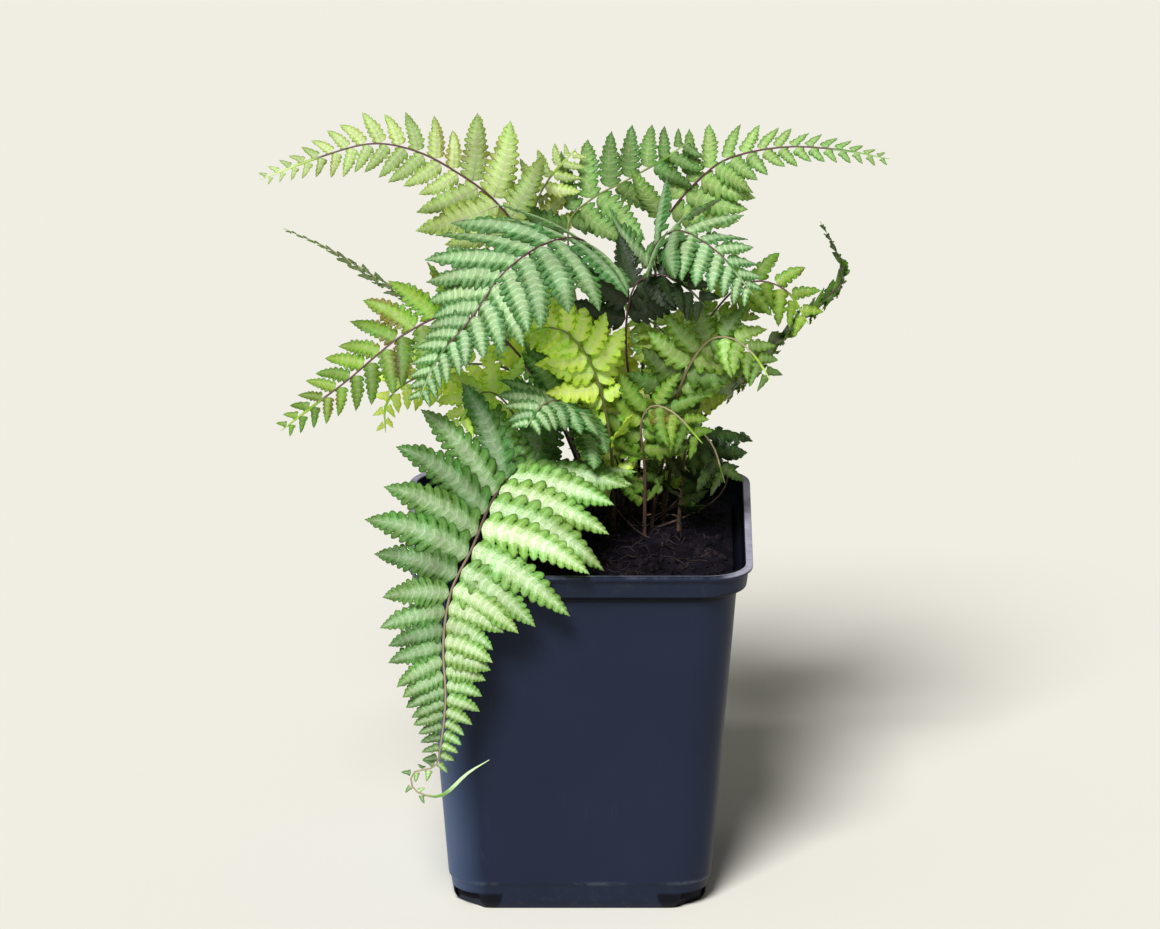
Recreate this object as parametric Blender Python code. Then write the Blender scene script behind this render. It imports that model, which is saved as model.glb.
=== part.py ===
"""Japanese painted fern growing in a square nursery pot.

The pot is a thin moulded shell with a stepped collar and four cut-away base corners.
It is filled with potting soil, and the fern's short rhizome lies half sunk in the soil.
Each frond is one closed solid: a stalk of diamond section that runs on as the rib of the blade,
and pairs of thin arched leaflets that grow out of the rib's two side edges.
All sizes are in millimetres and become metres when a mesh is made. +Z is up, +X is right,
-Y is the front, and the origin is the middle of the pot's underside.
"""

import math
import random

import bmesh
import bpy
import numpy as np
from mathutils import Matrix, Vector, noise
from mathutils.kdtree import KDTree

MM = 0.001

# The pot.
POT_HEIGHT = 96.5
FOOT_HALF = 32.0  # half the width across the flats at the underside
BODY_TOP_HALF = 41.0
COLLAR_HALF = 44.1
LIP_HALF = 45.2
LIP_WIDTH = 1.9
WALL = 1.0
FLOOR = 2.2
FOOT_BAND = 7.0  # height of the slightly narrower band round the foot
COLLAR_FROM = 89.0
CORNER_RADIUS = 11.0
CORNER_STEPS = 4
NOTCH_FROM = 39.4  # distance from the middle at which a base corner is cut away
NOTCH_HEIGHT = 4.5
NOTCH_FLARE = 2.0
NOTCH_HALF = 4.5

# The soil.
SOIL_GAP = 0.3
SOIL_EDGE = 91.3
SOIL_RINGS = 5
HEAP = 1.9  # how much higher the soil is at the tuft
HEAP_SPREAD = 20.0
CROWN = (10.0, 16.0)  # middle of the tuft of stalks
HOLE_RADIUS = 1.35
HOLE_SIDES = 6
HOLE_FLOOR = 0.5  # gap left under a stalk
STALK_DEPTH = 8.0  # how far a stalk runs down into the soil

# The rhizome: a knobbly stub with the bases of old stalks standing on it.
RHIZOME = ((3.5, 13.5), (16.5, 23.2))
RHIZOME_RADIUS = 2.5
RHIZOME_SUNK = 0.2  # how far its middle line lies under the soil's surface
RHIZOME_GAP = 0.4
KNOBS = 0.12  # how uneven it is, against its radius
STUBS = 6
STUB_HEIGHT = (5.0, 10.0)
STUB_RADIUS = 0.85
STUB_LEAN = 0.2
STUB_TURN = 2.4  # from one stub's leaning direction to the next one's, radians

# The fronds.
ROUTE_STEP = 0.5
STALK_RADIUS = 0.85
TIP_RADIUS = 0.4
STALK_STEP = 13.0
LEAFLET_HALF_WIDTH = 0.18  # of a leaflet's length
PAIR_GAP = 2.9  # from one pair of leaflets to the next, where the leaflets are very short
PAIR_GAP_GROWTH = 0.215  # added to it, for each millimetre of a leaflet's length
NEIGHBOUR_SHARE = 0.5  # of the same distance, the least between the middle lines of neighbouring leaflets
WIDEST_AT = 0.2  # share of a leaflet's length at which it is widest
ROOT_WIDTH = 0.5  # width at its root, against its widest
TAPER = 0.8  # below 1 the outline bulges, above 1 it is hollow
FORWARD_BEND = 0.16  # how far a leaflet's tip bends towards the frond's tip, against its length
SAG = 0.06  # how far it sinks under its own weight
BLADE_THICK = 0.6
BLADE_THICKEN = 0.012  # added to the thickness, for each millimetre of a leaflet's length
LENGTH_RANGE = (0.93, 1.05)
LEAN_RANGE = (-3, 3)
LIFT_RANGE = (-3, 3)
ROLL_RANGE = (4, 12)  # how far a leaflet's outer edge is turned up, so that neighbours lie like shingles
WIDEST_SHARE = 0.52  # of the distance between leaflets, the most that half a leaflet's width may be
LOBE_SIZES = (5.6, 11.5, 19.0)  # lengths from which a leaflet has one, two and three lobes on each side
LOBE_TIP = 0.64  # where a lobe's tip and the notch after it lie, in lobes
LOBE_NOTCH = 0.95
LOBE_END = 0.9  # length of the undivided end, in lobes
THINNING = 0.25  # loss of thickness from root to tip
CUPPING = 0.06  # how far the edges hang below the middle, against the half width
NOTCH_KEEP = 0.58  # how much of the half width is left between two lobes
ROOT_SHARE = 0.42  # of the distance between leaflets, taken up by a leaflet's root
TIP_BARE = 1.0
STAGGER = 0.16  # of the same distance, by which right leaflets sit further on than left ones
SAMPLE_STEP = 1.6
CLEAR_OTHER = 2.1
CLEAR_OWN = 1.6
CLEAR_POT = 1.4
LIFTS = (0, 11, -11, 22, -22, 33, -33, 46, -46)
SHRINKS = (1.0, 0.85, 0.7, 0.52)
SEED = 11

COLOURS = {
    "pot": (0.030, 0.038, 0.060),
    "soil": (0.018, 0.012, 0.010),
    "rhizome": (0.085, 0.055, 0.035),
    "green": (0.16, 0.30, 0.12),
    "silver": (0.30, 0.45, 0.30),
    "lime": (0.38, 0.55, 0.10),
}

# Each frond, in the order in which it claims its space. What changes along the blade is a row of values
# at even steps from the first pair of leaflets to the tip:
#   route   points that the stalk and rib pass through, from the soil's surface to the tip
#   bare    share of the length that has no leaflets
#   face    which way the blade's upper side looks
#   long    length of a leaflet
#   lean    angle between rib and leaflet, degrees
#   lift    angle at which a leaflet stands up from the blade's plane, degrees
#   droop   how strongly the leaflets curve down
#   lobes   lobes on each side of the longest leaflets
#   crowd   distance between pairs of leaflets, against the usual one (1 where it is left out)
#   roll    angle by which the leaflets' outer edges are turned up, degrees (0 where it is left out)
FRONDS = {
    "front_fall": dict(
        route=[(-1, 13, 92), (-4, 5, 105), (-10, -8, 114), (-17, -22, 118), (-23, -35, 114), (-28, -46, 105),
               (-33.5, -52, 95), (-35.5, -55, 82), (-35, -54, 66), (-36.5, -50, 51), (-38, -47, 45),
               (-43.5, -46, 43), (-44, -46, 39.5), (-42, -46.5, 37.4), (-36, -47, 37), (-29.5, -47, 43),
               (-23.7, -47.5, 47)],
        bare=0.15, face=((0.1, -0.3, 1), (0.4, -0.6, 0.6), (0.2, -1, 0.3), (0, -1, 0.1), (0, -1, 0)),
        long=(25, 26, 29, 33, 32.5, 19, 13.5, 11, 6, 3.5, 2, 1.8, 1.8), lean=(120, 112, 92, 80, 72, 66, 62),
        lift=(36, 22, 10, 4, 2), droop=0.1, lobes=3,
        crowd=(0.7, 0.68, 0.68, 0.68, 0.74, 0.8, 0.95, 1.1, 1.3), roll=(-64, -50, -16, 0, 0, 0, 0)),
    "silver_centre": dict(
        route=[(11, 13, 92), (11, 13, 121), (7, 8, 147), (5, 3, 163), (1, -6, 176), (-9, -18, 179),
               (-20, -28, 174), (-28, -34, 164), (-37, -38, 154), (-42, -40, 143)],
        bare=0.53, face=((0, -0.4, 1), (-0.2, -0.6, 0.8), (-0.4, -0.7, 0.6)),
        long=(25, 28, 24, 17, 11, 7, 3), lean=(86, 74, 66, 60, 54), lift=(4,), droop=0.12, lobes=3,
        crowd=(0.7, 0.85)),
    "arch_left": dict(
        route=[(1, 16, 92), (-3, 15, 120), (-10, 13, 150), (-14, 12, 169), (-22, 12, 181), (-32, 12, 189),
               (-43, 12, 195), (-55, 12, 197), (-70, 11, 193), (-84, 9, 188)],
        bare=0.51, face=((0.1, -1, 0.5), (0, -0.9, 0.5)),
        long=(17, 22, 19, 10, 11, 9.5, 8, 6.5, 4.5, 3, 1.5), lean=(78, 66, 66, 64, 58, 52), lift=(5,),
        droop=0.06, lobes=3),
    "arch_right": dict(
        route=[(17, 18, 92), (19, 21, 123), (20, 21, 151), (20, 19, 168), (24, 17, 177), (31, 15, 186),
               (39, 12, 193), (53, 9, 197), (67, 7, 197), (81, 5, 195)],
        bare=0.53, face=((0.2, -1, 0.4), (0, -0.7, 0.7), (0, -0.5, 0.9)),
        long=(17, 17, 15, 12, 9, 7, 6, 5, 4, 3, 1.5), lean=(72, 62, 58, 54, 48), lift=(6,), droop=0.08,
        lobes=3),
    "left_reach": dict(
        route=[(4, 9, 92), (-3, 1, 119), (-13, -7, 141), (-24, -14, 155), (-35, -20, 160), (-46, -24, 156),
               (-53, -26, 151), (-60, -27, 145), (-68, -28, 139), (-78, -28, 131)],
        bare=0.56, face=((-0.1, -0.8, 0.6), (0, -0.9, 0.4)), long=(15, 15, 14, 12, 10, 8, 6, 4, 2),
        lean=(78, 66, 58, 50), lift=(5,), droop=0.08, lobes=2),
    "silver_front": dict(
        route=[(8, 9, 92), (6, 6, 111), (1, -2, 126), (-5, -12, 134), (-10, -22, 136), (-14, -31, 133)],
        bare=0.46, face=((0, -0.4, 1), (0, -0.7, 0.7)), long=(20, 20, 17, 12, 7, 3), lean=(84, 72, 62, 56),
        lift=(2,), droop=0.12, lobes=3, crowd=(0.78,), roll=(-50, -44, -30)),
    "silver_right": dict(
        route=[(15, 11, 92), (16, 9, 122), (17, 4, 151), (19, -3, 172), (25, -10, 180), (32, -16, 179),
               (38, -20, 175), (45, -24, 167)],
        bare=0.6, face=((0, -0.5, 1), (0.4, -0.7, 0.5)), long=(19, 20, 16, 12, 8, 3), lean=(80, 70, 62, 56),
        lift=(3,), droop=0.12, lobes=2, crowd=(1, 0.9, 0.8)),
    "upswept": dict(
        route=[(21, 21, 92), (25, 22, 109), (32, 21, 118), (44, 18, 131), (55, 16, 144), (65, 14, 154),
               (69, 13, 160), (67, 12, 168), (63, 11, 176)],
        bare=0.36, face=((-0.8, 0.45, 0.6), (-0.9, -0.2, 0.1)), long=(12, 13, 11, 9, 6, 4, 1.5),
        lean=(66, 58, 50), lift=(14,), droop=-0.08, lobes=1),
    "mid_right": dict(
        route=[(19, 15, 92), (23, 15, 117), (29, 12, 140), (37, 9, 154), (43, 7, 160), (49, 6, 161),
               (55, 5, 158), (60, 4, 150)],
        bare=0.5, face=((0, -0.9, 0.5), (0.3, -0.9, 0.3)), long=(11, 11, 10, 9, 8, 4), lean=(78, 70, 62),
        lift=(6,), droop=0.08, lobes=2),
    "top_mid": dict(
        route=[(10, 24, 92), (5, 29, 121), (-1, 29, 148), (-3, 25, 170), (3, 21, 179), (12, 18, 185),
               (21, 16, 191), (29, 15, 197)],
        bare=0.62, face=((-0.2, -1, 0.3), (0, -1, 0.3)), long=(14, 16, 16, 14, 9, 3), lean=(80, 68, 58),
        lift=(5,), droop=0.05, lobes=3),
    "top_pale": dict(
        route=[(6, 28, 92), (1, 33, 119), (-7, 33, 147), (-12, 29, 170), (-9, 25, 182), (-1, 21, 193)],
        bare=0.66, face=((0, -1, 0.4), (0, -1, 0.2)), long=(15, 14, 11, 7, 2), lean=(72, 62, 52), lift=(5,),
        droop=0.05, lobes=2),
    "left_twig": dict(
        route=[(3, 24, 92), (-5, 26, 116), (-18, 28, 135), (-32, 28, 145), (-45, 27, 151), (-54, 26, 156),
               (-66, 25, 164), (-78, 24, 170)],
        bare=0.52, face=((0.3, 0.5, 0.9),), long=(9, 9, 8, 6, 4, 2, 1.5), lean=(66, 56, 48), lift=(5,),
        droop=0.05, lobes=1),
    "lime_left": dict(
        route=[(-2, 20, 92), (-6, 14, 110), (-16, 7, 134), (-27, 4, 139), (-39, 0, 138), (-47, -3, 135),
               (-51, -4, 130), (-51, -5, 123)],
        bare=0.48, face=((0, -0.9, 0.5), (-0.5, -0.8, 0.1)), long=(11, 11, 10, 8, 4, 2), lean=(74, 64, 56),
        lift=(5,), droop=0.12, lobes=1),
    "mid_low": dict(
        route=[(19, 7, 92), (23, 1, 119), (27, -6, 138), (33, -12, 150), (39, -17, 153), (45, -21, 150),
               (50, -24, 143)],
        bare=0.46, face=((0.2, -0.8, 0.6), (0.5, -0.8, 0.3)), long=(14, 14, 12, 10, 7, 3), lean=(78, 68, 58),
        lift=(4,), droop=0.16, lobes=2, crowd=(0.9,), roll=(-38, -24)),
    "dark_right": dict(
        route=[(13, 6, 92), (14, 3, 121), (12, -6, 149), (14, -12, 165), (20, -16, 170), (27, -19, 168),
               (33, -22, 163)],
        bare=0.62, face=((0.1, -0.8, 0.8), (0.2, -0.9, 0.5)), long=(15, 15, 12, 8, 4), lean=(72, 62, 56),
        lift=(4,), droop=0.12, lobes=2, crowd=(0.9,), roll=(-38, -24)),
    "low_right": dict(
        route=[(26, 5, 92), (27, 3, 106), (28, 0, 118), (31, -4, 123), (35, -8, 120), (38, -11, 111)],
        bare=0.3, face=((-0.5, -0.7, 0.6), (0.2, -0.8, 0.8), (0.9, -0.5, 0.1)), long=(15, 16, 14, 10, 4),
        lean=(76, 66, 58), lift=(4,), droop=0.14, lobes=1),
    "low_mid": dict(
        route=[(17, 1, 92), (17, -3, 112), (16, -8, 126), (19, -13, 133), (25, -17, 132), (32, -20, 125)],
        bare=0.36, face=((-0.3, -0.9, 0.5), (0.2, -0.9, 0.5), (0.5, -0.8, 0.2)), long=(13, 14, 12, 8, 4),
        lean=(80, 70, 60), lift=(4,), droop=0.12, lobes=1, crowd=(0.88,), roll=(-40, -26)),
    "lime_front": dict(
        route=[(-5, 17, 92), (-12, 7, 112), (-18, -5, 129), (-23, -14, 137), (-28, -20, 137),
               (-32, -25, 130)],
        bare=0.4, face=((-0.2, -0.8, 0.7), (-0.4, -0.9, 0.2)), long=(12, 13, 12, 9, 3), lean=(74, 66, 58),
        lift=(4,), droop=0.14, lobes=1, crowd=(0.88,), roll=(-46, -34)),
    "lime_mid": dict(
        route=[(9, 4, 92), (8, -4, 120), (4, -10, 141), (-2, -14, 152), (-8, -18, 156), (-15, -22, 155)],
        bare=0.42, face=((0, -0.9, 0.5), (-0.2, -0.9, 0.4)), long=(13, 14, 12, 8, 3), lean=(72, 62, 56),
        lift=(4,), droop=0.1, lobes=1, crowd=(0.88,), roll=(-46, -34)),
    "lime_centre": dict(
        route=[(14.5, 15, 92), (13, 8, 118), (9, 0, 136), (3, -4, 147), (-4, -5, 150), (-10, -6, 147)],
        bare=0.42, face=((0, -0.9, 0.5), (-0.2, -0.9, 0.3)), long=(13, 13, 11, 7, 3), lean=(72, 62, 56),
        lift=(4,), droop=0.1, lobes=1, crowd=(0.88,), roll=(-46, -34)),
    "lime_right": dict(
        route=[(22, 11, 92), (25, 8, 116), (27, 4, 134), (24, 0, 146), (18, -2, 153), (12, -3, 154)],
        bare=0.42, face=((0, -0.9, 0.5), (-0.1, -0.9, 0.3)), long=(13, 13, 11, 7, 3), lean=(72, 62, 56),
        lift=(4,), droop=0.1, lobes=1, crowd=(0.88,), roll=(-46, -34)),
    "lime_high": dict(
        route=[(7, 20.5, 92), (0, 16, 118), (-6, 12, 140), (-9, 8, 152), (-9, 3, 160), (-7, -2, 164)],
        bare=0.42, face=((0, -0.9, 0.5), (0.1, -0.9, 0.4)), long=(12, 12, 10, 7, 3), lean=(72, 62, 56),
        lift=(4,), droop=0.1, lobes=1, crowd=(0.88,), roll=(-46, -34)),
    "back_left": dict(
        route=[(2, 31, 92), (-4, 42, 117), (-10, 53, 134), (-16, 65, 140), (-20, 77, 136), (-22, 87, 127)],
        bare=0.36, face=((0, 0.2, 1), (0, 0.8, 0.7)), long=(22, 22, 18, 13, 8, 3), lean=(76, 68, 60),
        lift=(5,), droop=0.12, lobes=2),
    "back_right": dict(
        route=[(18, 31, 92), (24, 43, 116), (29, 54, 130), (34, 65, 134), (38, 76, 129)],
        bare=0.36, face=((0.1, 0.2, 1), (0.2, 0.8, 0.7)), long=(20, 20, 16, 11, 7, 3), lean=(76, 68, 60),
        lift=(5,), droop=0.12, lobes=2),
    "back_fall": dict(
        route=[(12, 32, 92), (10, 44, 108), (8, 56, 114), (7, 66, 108), (6, 73, 96), (6, 76, 83)],
        bare=0.32, face=((0, 0.2, 1), (0, 1, 0.1)), long=(17, 17, 14, 10, 6, 2), lean=(76, 68, 60),
        lift=(5,), droop=0.08, lobes=2),
    "young_low": dict(
        route=[(-5, 6, 92), (-7, 1, 100), (-6, -5, 105), (-3, -10, 104), (0, -14, 99)],
        bare=0.34, face=((0, -0.8, 0.7), (0, -0.9, 0.3)), long=(6, 6, 4.5, 2.5), lean=(70, 60), lift=(4,),
        droop=0.1, lobes=1),
}


def clear_scene():
    for obj in list(bpy.data.objects):
        bpy.data.objects.remove(obj)


def material(name, colour, roughness):
    made = bpy.data.materials.new(name)
    made.use_nodes = True
    shader = made.node_tree.nodes["Principled BSDF"]
    shader.inputs["Base Color"].default_value = (*colour, 1)
    shader.inputs["Roughness"].default_value = roughness
    shader.inputs["Metallic"].default_value = 0.0
    return made


def make_object(name, bm, finish):
    """A bmesh in millimetres becomes a named object in metres."""
    bmesh.ops.recalc_face_normals(bm, faces=bm.faces)
    bmesh.ops.scale(bm, vec=(MM, MM, MM), verts=bm.verts)
    mesh = bpy.data.meshes.new(name)
    bm.to_mesh(mesh)
    bm.free()
    obj = bpy.data.objects.new(name, mesh)
    bpy.context.scene.collection.objects.link(obj)
    mesh.materials.append(finish)
    return obj


def combine(obj, tools, name, operation):
    """Cuts a group of helper objects out of obj or joins them to it, and removes the helpers."""
    group = bpy.data.collections.new(name)
    for tool in tools:
        tool.hide_render = True
        tool.display_type = "WIRE"
        bpy.context.scene.collection.objects.unlink(tool)
        group.objects.link(tool)
    modifier = obj.modifiers.new(name, "BOOLEAN")
    modifier.operation = operation
    modifier.operand_type = "COLLECTION"
    modifier.collection = group
    modifier.solver = "EXACT"
    graph = bpy.context.evaluated_depsgraph_get()
    mesh = bpy.data.meshes.new_from_object(obj.evaluated_get(graph))
    obj.modifiers.clear()
    obj.data = mesh
    for tool in tools:
        bpy.data.objects.remove(tool)
    bpy.data.collections.remove(group)


# ---------------------------------------------------------------- pot


def rounded_square(bm, half, radius, z):
    """A closed ring of vertices: a square of the given half width with round corners."""
    ring = []
    for quarter in range(4):
        turn = Matrix.Rotation(quarter * math.pi / 2, 2)
        for step in range(CORNER_STEPS + 1):
            angle = step / CORNER_STEPS * math.pi / 2
            arc = Vector((math.cos(angle), math.sin(angle))) * radius
            flat = turn @ (Vector((half - radius, half - radius)) + arc)
            ring.append(bm.verts.new((*flat, z)))
    return ring


def stack(profile):
    """A closed solid through rounded squares, each given as (half width, corner radius, height)."""
    bm = bmesh.new()
    rings = [rounded_square(bm, *row) for row in profile]
    for lower, upper in zip(rings, rings[1:]):
        for a, b, c, d in zip(lower, lower[1:] + lower[:1], upper[1:] + upper[:1], upper):
            bm.faces.new((a, b, c, d))
    bm.faces.new(rings[0])
    bm.faces.new(rings[-1])
    return bm, rings


def make_pot():
    r = CORNER_RADIUS
    outside = [
        (FOOT_HALF, r - 2.0, 0.0),
        (FOOT_HALF + 1.3, r - 1.4, 2.2),
        (FOOT_HALF + 2.1, r - 1.0, FOOT_BAND),
        (FOOT_HALF + 2.6, r - 0.8, FOOT_BAND + 0.7),
        (BODY_TOP_HALF, r - 0.2, COLLAR_FROM),
        (COLLAR_HALF - 0.6, r, COLLAR_FROM + 1.3),
        (COLLAR_HALF, r, POT_HEIGHT - 1.5),
        (LIP_HALF, r + 0.4, POT_HEIGHT - 1.1),
        (LIP_HALF, r + 0.4, POT_HEIGHT),
    ]
    inside = [
        (LIP_HALF - LIP_WIDTH, r - 0.6, POT_HEIGHT),
        (COLLAR_HALF - WALL - 0.4, r - 0.8, COLLAR_FROM + 2.2),
        (BODY_TOP_HALF - WALL, r - 1.1, COLLAR_FROM + 0.2),
        (FOOT_HALF + 1.4, r - 1.9, FLOOR + 4.0),
        (FOOT_HALF + 0.3, r - 2.4, FLOOR),
    ]
    bm, _ = stack(outside + inside)
    pot = make_object("pot", bm, material("pot_plastic", COLOURS["pot"], 0.42))
    cutters = []
    for quarter in range(4):
        bm = bmesh.new()
        turn = Matrix.Rotation(math.pi / 4 + quarter * math.pi / 2, 3, "Z")
        for z, near, half in ((-2.0, NOTCH_FROM, NOTCH_HALF + 1.0),
                              (NOTCH_HEIGHT, NOTCH_FROM + NOTCH_FLARE, NOTCH_HALF)):
            for x in (near, LIP_HALF + near):
                for y in (-half, half):
                    bm.verts.new(turn @ Vector((x, y, z)))
        bmesh.ops.convex_hull(bm, input=bm.verts)
        cutters.append(make_object(f"corner_cut_{quarter}", bm, pot.data.materials[0]))
    combine(pot, cutters, "base_corners", "DIFFERENCE")
    pot.data.shade_smooth()
    pot.data.set_sharp_from_angle(angle=math.radians(35))


# ---------------------------------------------------------------- soil and rhizome


def soil_height(x, y):
    """The heaped, crumbly top of the soil."""
    heap = HEAP * math.exp(-((x - CROWN[0]) ** 2 + (y - CROWN[1]) ** 2) / (2 * HEAP_SPREAD ** 2))
    bumps = 0.7 * noise.noise((x * 0.11, y * 0.11, 3.7)) + 0.5 * noise.noise((x * 0.3, y * 0.3, 9.1))
    return SOIL_EDGE + heap + bumps


def make_soil():
    r = CORNER_RADIUS
    sides = [
        (FOOT_HALF + 0.3 - SOIL_GAP, r - 2.6, FLOOR + SOIL_GAP),
        (FOOT_HALF + 1.4 - SOIL_GAP, r - 2.2, FLOOR + 4.0),
        (BODY_TOP_HALF - WALL - SOIL_GAP, r - 1.4, COLLAR_FROM + 0.3),
    ]
    top = BODY_TOP_HALF - WALL - SOIL_GAP + 0.8
    tops = [(top * k / SOIL_RINGS, (r - 1.4) * k / SOIL_RINGS, SOIL_EDGE) for k in range(SOIL_RINGS, 0, -1)]
    bm, rings = stack(sides + tops)
    for ring in rings[len(sides):]:
        for vert in ring:
            vert.co.z = soil_height(vert.co.x, vert.co.y)
    bmesh.ops.triangulate(bm, faces=bm.faces)
    soil = make_object("soil", bm, material("potting_soil", COLOURS["soil"], 0.95))
    cutters = [rhizome_body("rhizome_room", RHIZOME_GAP, soil.data.materials[0])]
    for name, spec in FRONDS.items():
        x, y = spec["route"][0][:2]
        bm = bmesh.new()
        bmesh.ops.create_cone(bm, cap_ends=True, segments=HOLE_SIDES, radius1=HOLE_RADIUS,
                              radius2=HOLE_RADIUS, depth=2 * STALK_DEPTH,
                              matrix=Matrix.Translation((x, y, SOIL_EDGE)))
        cutters.append(make_object("hole_" + name, bm, soil.data.materials[0]))
    combine(soil, cutters, "stalk_holes", "DIFFERENCE")


def rhizome_body(name, swell, finish):
    """A knobbly spindle along the rhizome's middle line, made bigger all round by swell."""
    ends = [Vector((x, y, soil_height(x, y) - RHIZOME_SUNK)) for x, y in RHIZOME]
    way = ends[1] - ends[0]
    turn = way.to_track_quat("X", "Z").to_matrix()
    bm = bmesh.new()
    bmesh.ops.create_icosphere(bm, subdivisions=2, radius=1.0)
    for vert in bm.verts:
        thick = RHIZOME_RADIUS * (1 + KNOBS * noise.noise(vert.co * 1.9)) + swell
        vert.co *= Vector((way.length / 2 + swell, thick, thick))
        vert.co = (ends[0] + ends[1]) / 2 + turn @ vert.co
    return make_object(name, bm, finish)


def make_crown():
    finish = material("rhizome_bark", COLOURS["rhizome"], 0.85)
    crown = rhizome_body("crown", 0.0, finish)
    rng = random.Random(SEED)
    stubs = []
    for k in range(STUBS):
        share = (k + 0.5) / STUBS
        x, y = [a + (b - a) * share for a, b in zip(*RHIZOME)]
        tall = rng.uniform(*STUB_HEIGHT) * (0.6 + 0.4 * math.sin(math.pi * share))
        bm = bmesh.new()
        bmesh.ops.create_cone(bm, cap_ends=True, segments=5, radius1=STUB_RADIUS * 1.15,
                              radius2=STUB_RADIUS * 0.9, depth=tall + RHIZOME_RADIUS)
        for vert in bm.verts:
            vert.co.z += (tall + RHIZOME_RADIUS) / 2
            vert.co.x += vert.co.z * STUB_LEAN * math.cos(STUB_TURN * k)
            vert.co.y += vert.co.z * STUB_LEAN * math.sin(STUB_TURN * k)
        bmesh.ops.translate(bm, vec=(x, y, soil_height(x, y)), verts=bm.verts)
        stubs.append(make_object(f"stub_{k}", bm, finish))
    combine(crown, stubs, "stalk_stubs", "UNION")


# ---------------------------------------------------------------- where fronds and leaflets go


def unit(v):
    return v / max(np.linalg.norm(v), 1e-9)


def smooth_route(points):
    """A dense line on the Catmull-Rom curve through the points, with its running length.

    It leaves the soil upright, a millimetre above the surface at its first point.
    """
    p = np.array(points, float)
    p[0, 2] = soil_height(p[0, 0], p[0, 1]) + 1.0
    p = np.vstack([p[0] - (0, 0, 12), p, 2 * p[-1] - p[-2]])
    line = [p[1]]
    for a, b, c, d in zip(p, p[1:], p[2:], p[3:]):
        steps = max(2, int(np.linalg.norm(c - b) / ROUTE_STEP))
        for t in np.linspace(0, 1, steps + 1)[1:]:
            line.append(0.5 * (2 * b + (c - a) * t + (2 * a - 5 * b + 4 * c - d) * t * t
                               + (3 * b - a - 3 * c + d) * t ** 3))
    line = np.array(line)
    run = np.concatenate([[0], np.cumsum(np.linalg.norm(np.diff(line, axis=0), axis=1))])
    return line, run


def along_blade(values, share):
    """The value at a share of the blade's length, from a row of values at even steps along it."""
    place = share * (len(values) - 1)
    k = int(place)
    following = values[min(k + 1, len(values) - 1)]
    return values[k] + (following - values[k]) * (place - k)


class Rib:
    """The middle line of a frond's stalk and blade."""

    def __init__(self, spec):
        self.line, self.run = smooth_route(spec["route"])
        self.length = self.run[-1]
        self.start = spec["bare"] * self.length
        self.faces = [unit(np.array(face, float)) for face in spec["face"]]

    def share(self, s):
        """How far along the blade s lies, from 0 to 1."""
        return min(max((s - self.start) / (self.length - self.start), 0), 1)

    def point(self, s):
        return np.array([np.interp(s, self.run, self.line[:, k]) for k in range(3)])

    def at(self, s):
        """Point, direction to the tip, right side and upper side at the distance s from the soil."""
        along = unit(self.point(min(s + 1, self.length)) - self.point(max(s - 1, 0)))
        side = unit(np.cross(along, along_blade(self.faces, self.share(s))))
        return self.point(s), along, side, np.cross(side, along)

    def radius(self, s):
        return STALK_RADIUS + (TIP_RADIUS - STALK_RADIUS) * (s / self.length) ** 0.8


class Leaflet:
    """One leaflet's middle line and width, worked out from its root on the rib.

    way is 1 for a leaflet on the rib's right and -1 for one on its left.
    """

    def __init__(self, rib, s, way, length, most, lean, lift, roll, droop):
        point, along, side, up = rib.at(s)
        self.way = way
        self.length = length
        self.wide = min(LEAFLET_HALF_WIDTH * length, most)
        self.root = point + side * way * rib.radius(s)
        out = math.cos(math.radians(lift)) * side * way + math.sin(math.radians(lift)) * up
        above = math.cos(math.radians(lift)) * up - math.sin(math.radians(lift)) * side * way
        self.go = math.cos(math.radians(lean)) * along + math.sin(math.radians(lean)) * out
        self.bend = FORWARD_BEND * along - droop * above - np.array((0, 0, SAG))
        across = unit(along - self.go * float(along @ self.go))
        self.across = math.cos(math.radians(roll)) * across + math.sin(math.radians(roll)) * above

    def frame(self, t):
        """Point, width direction towards the frond's tip, and upper side at a share t of the length."""
        along = unit(self.go + 2 * t * self.bend)
        across = unit(self.across - along * float(self.across @ along))
        point = self.root + self.length * (t * self.go + t * t * self.bend)
        return point, across, np.cross(along, across) * self.way

    def half_width(self, t):
        swell = ROOT_WIDTH + (1 - ROOT_WIDTH) * min(1, t / WIDEST_AT)
        return self.wide * swell * ((1 - t) / (1 - WIDEST_AT)) ** TAPER

    def middle_line(self):
        """Points along the outer part of the leaflet's own rib."""
        return [self.frame(t)[0] for t in (0.35, 0.5, 0.65, 0.8, 1.0)]

    def samples(self):
        """Points spread over the leaflet, for keeping it clear of its neighbours."""
        found = []
        for t in np.linspace(0, 1, max(3, math.ceil(self.length / SAMPLE_STEP)) + 1)[1:]:
            point, across, _ = self.frame(t)
            half = self.half_width(t)
            for w in np.linspace(-half, half, 2 * math.ceil(half / SAMPLE_STEP) + 1):
                found.append(point + across * w)
        return found


def tree(points):
    found = KDTree(len(points))
    for number, point in enumerate(points):
        found.insert(point, number)
    found.balance()
    return found


def clear_of_pot(points):
    """True if no point is in the pot, in the soil or too near to them."""
    for x, y, z in points:
        reach = max(abs(x), abs(y))
        if z < 3:
            return False
        if z > POT_HEIGHT + CLEAR_POT:
            continue
        body = FOOT_HALF + 2.6 + (BODY_TOP_HALF - FOOT_HALF - 2.6) * z / COLLAR_FROM
        outer = body if z < COLLAR_FROM - CLEAR_POT else LIP_HALF
        inside = reach < LIP_HALF - LIP_WIDTH - CLEAR_POT and z > soil_height(x, y) + CLEAR_POT
        if reach < outer + CLEAR_POT and not inside:
            return False
    return True


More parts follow.
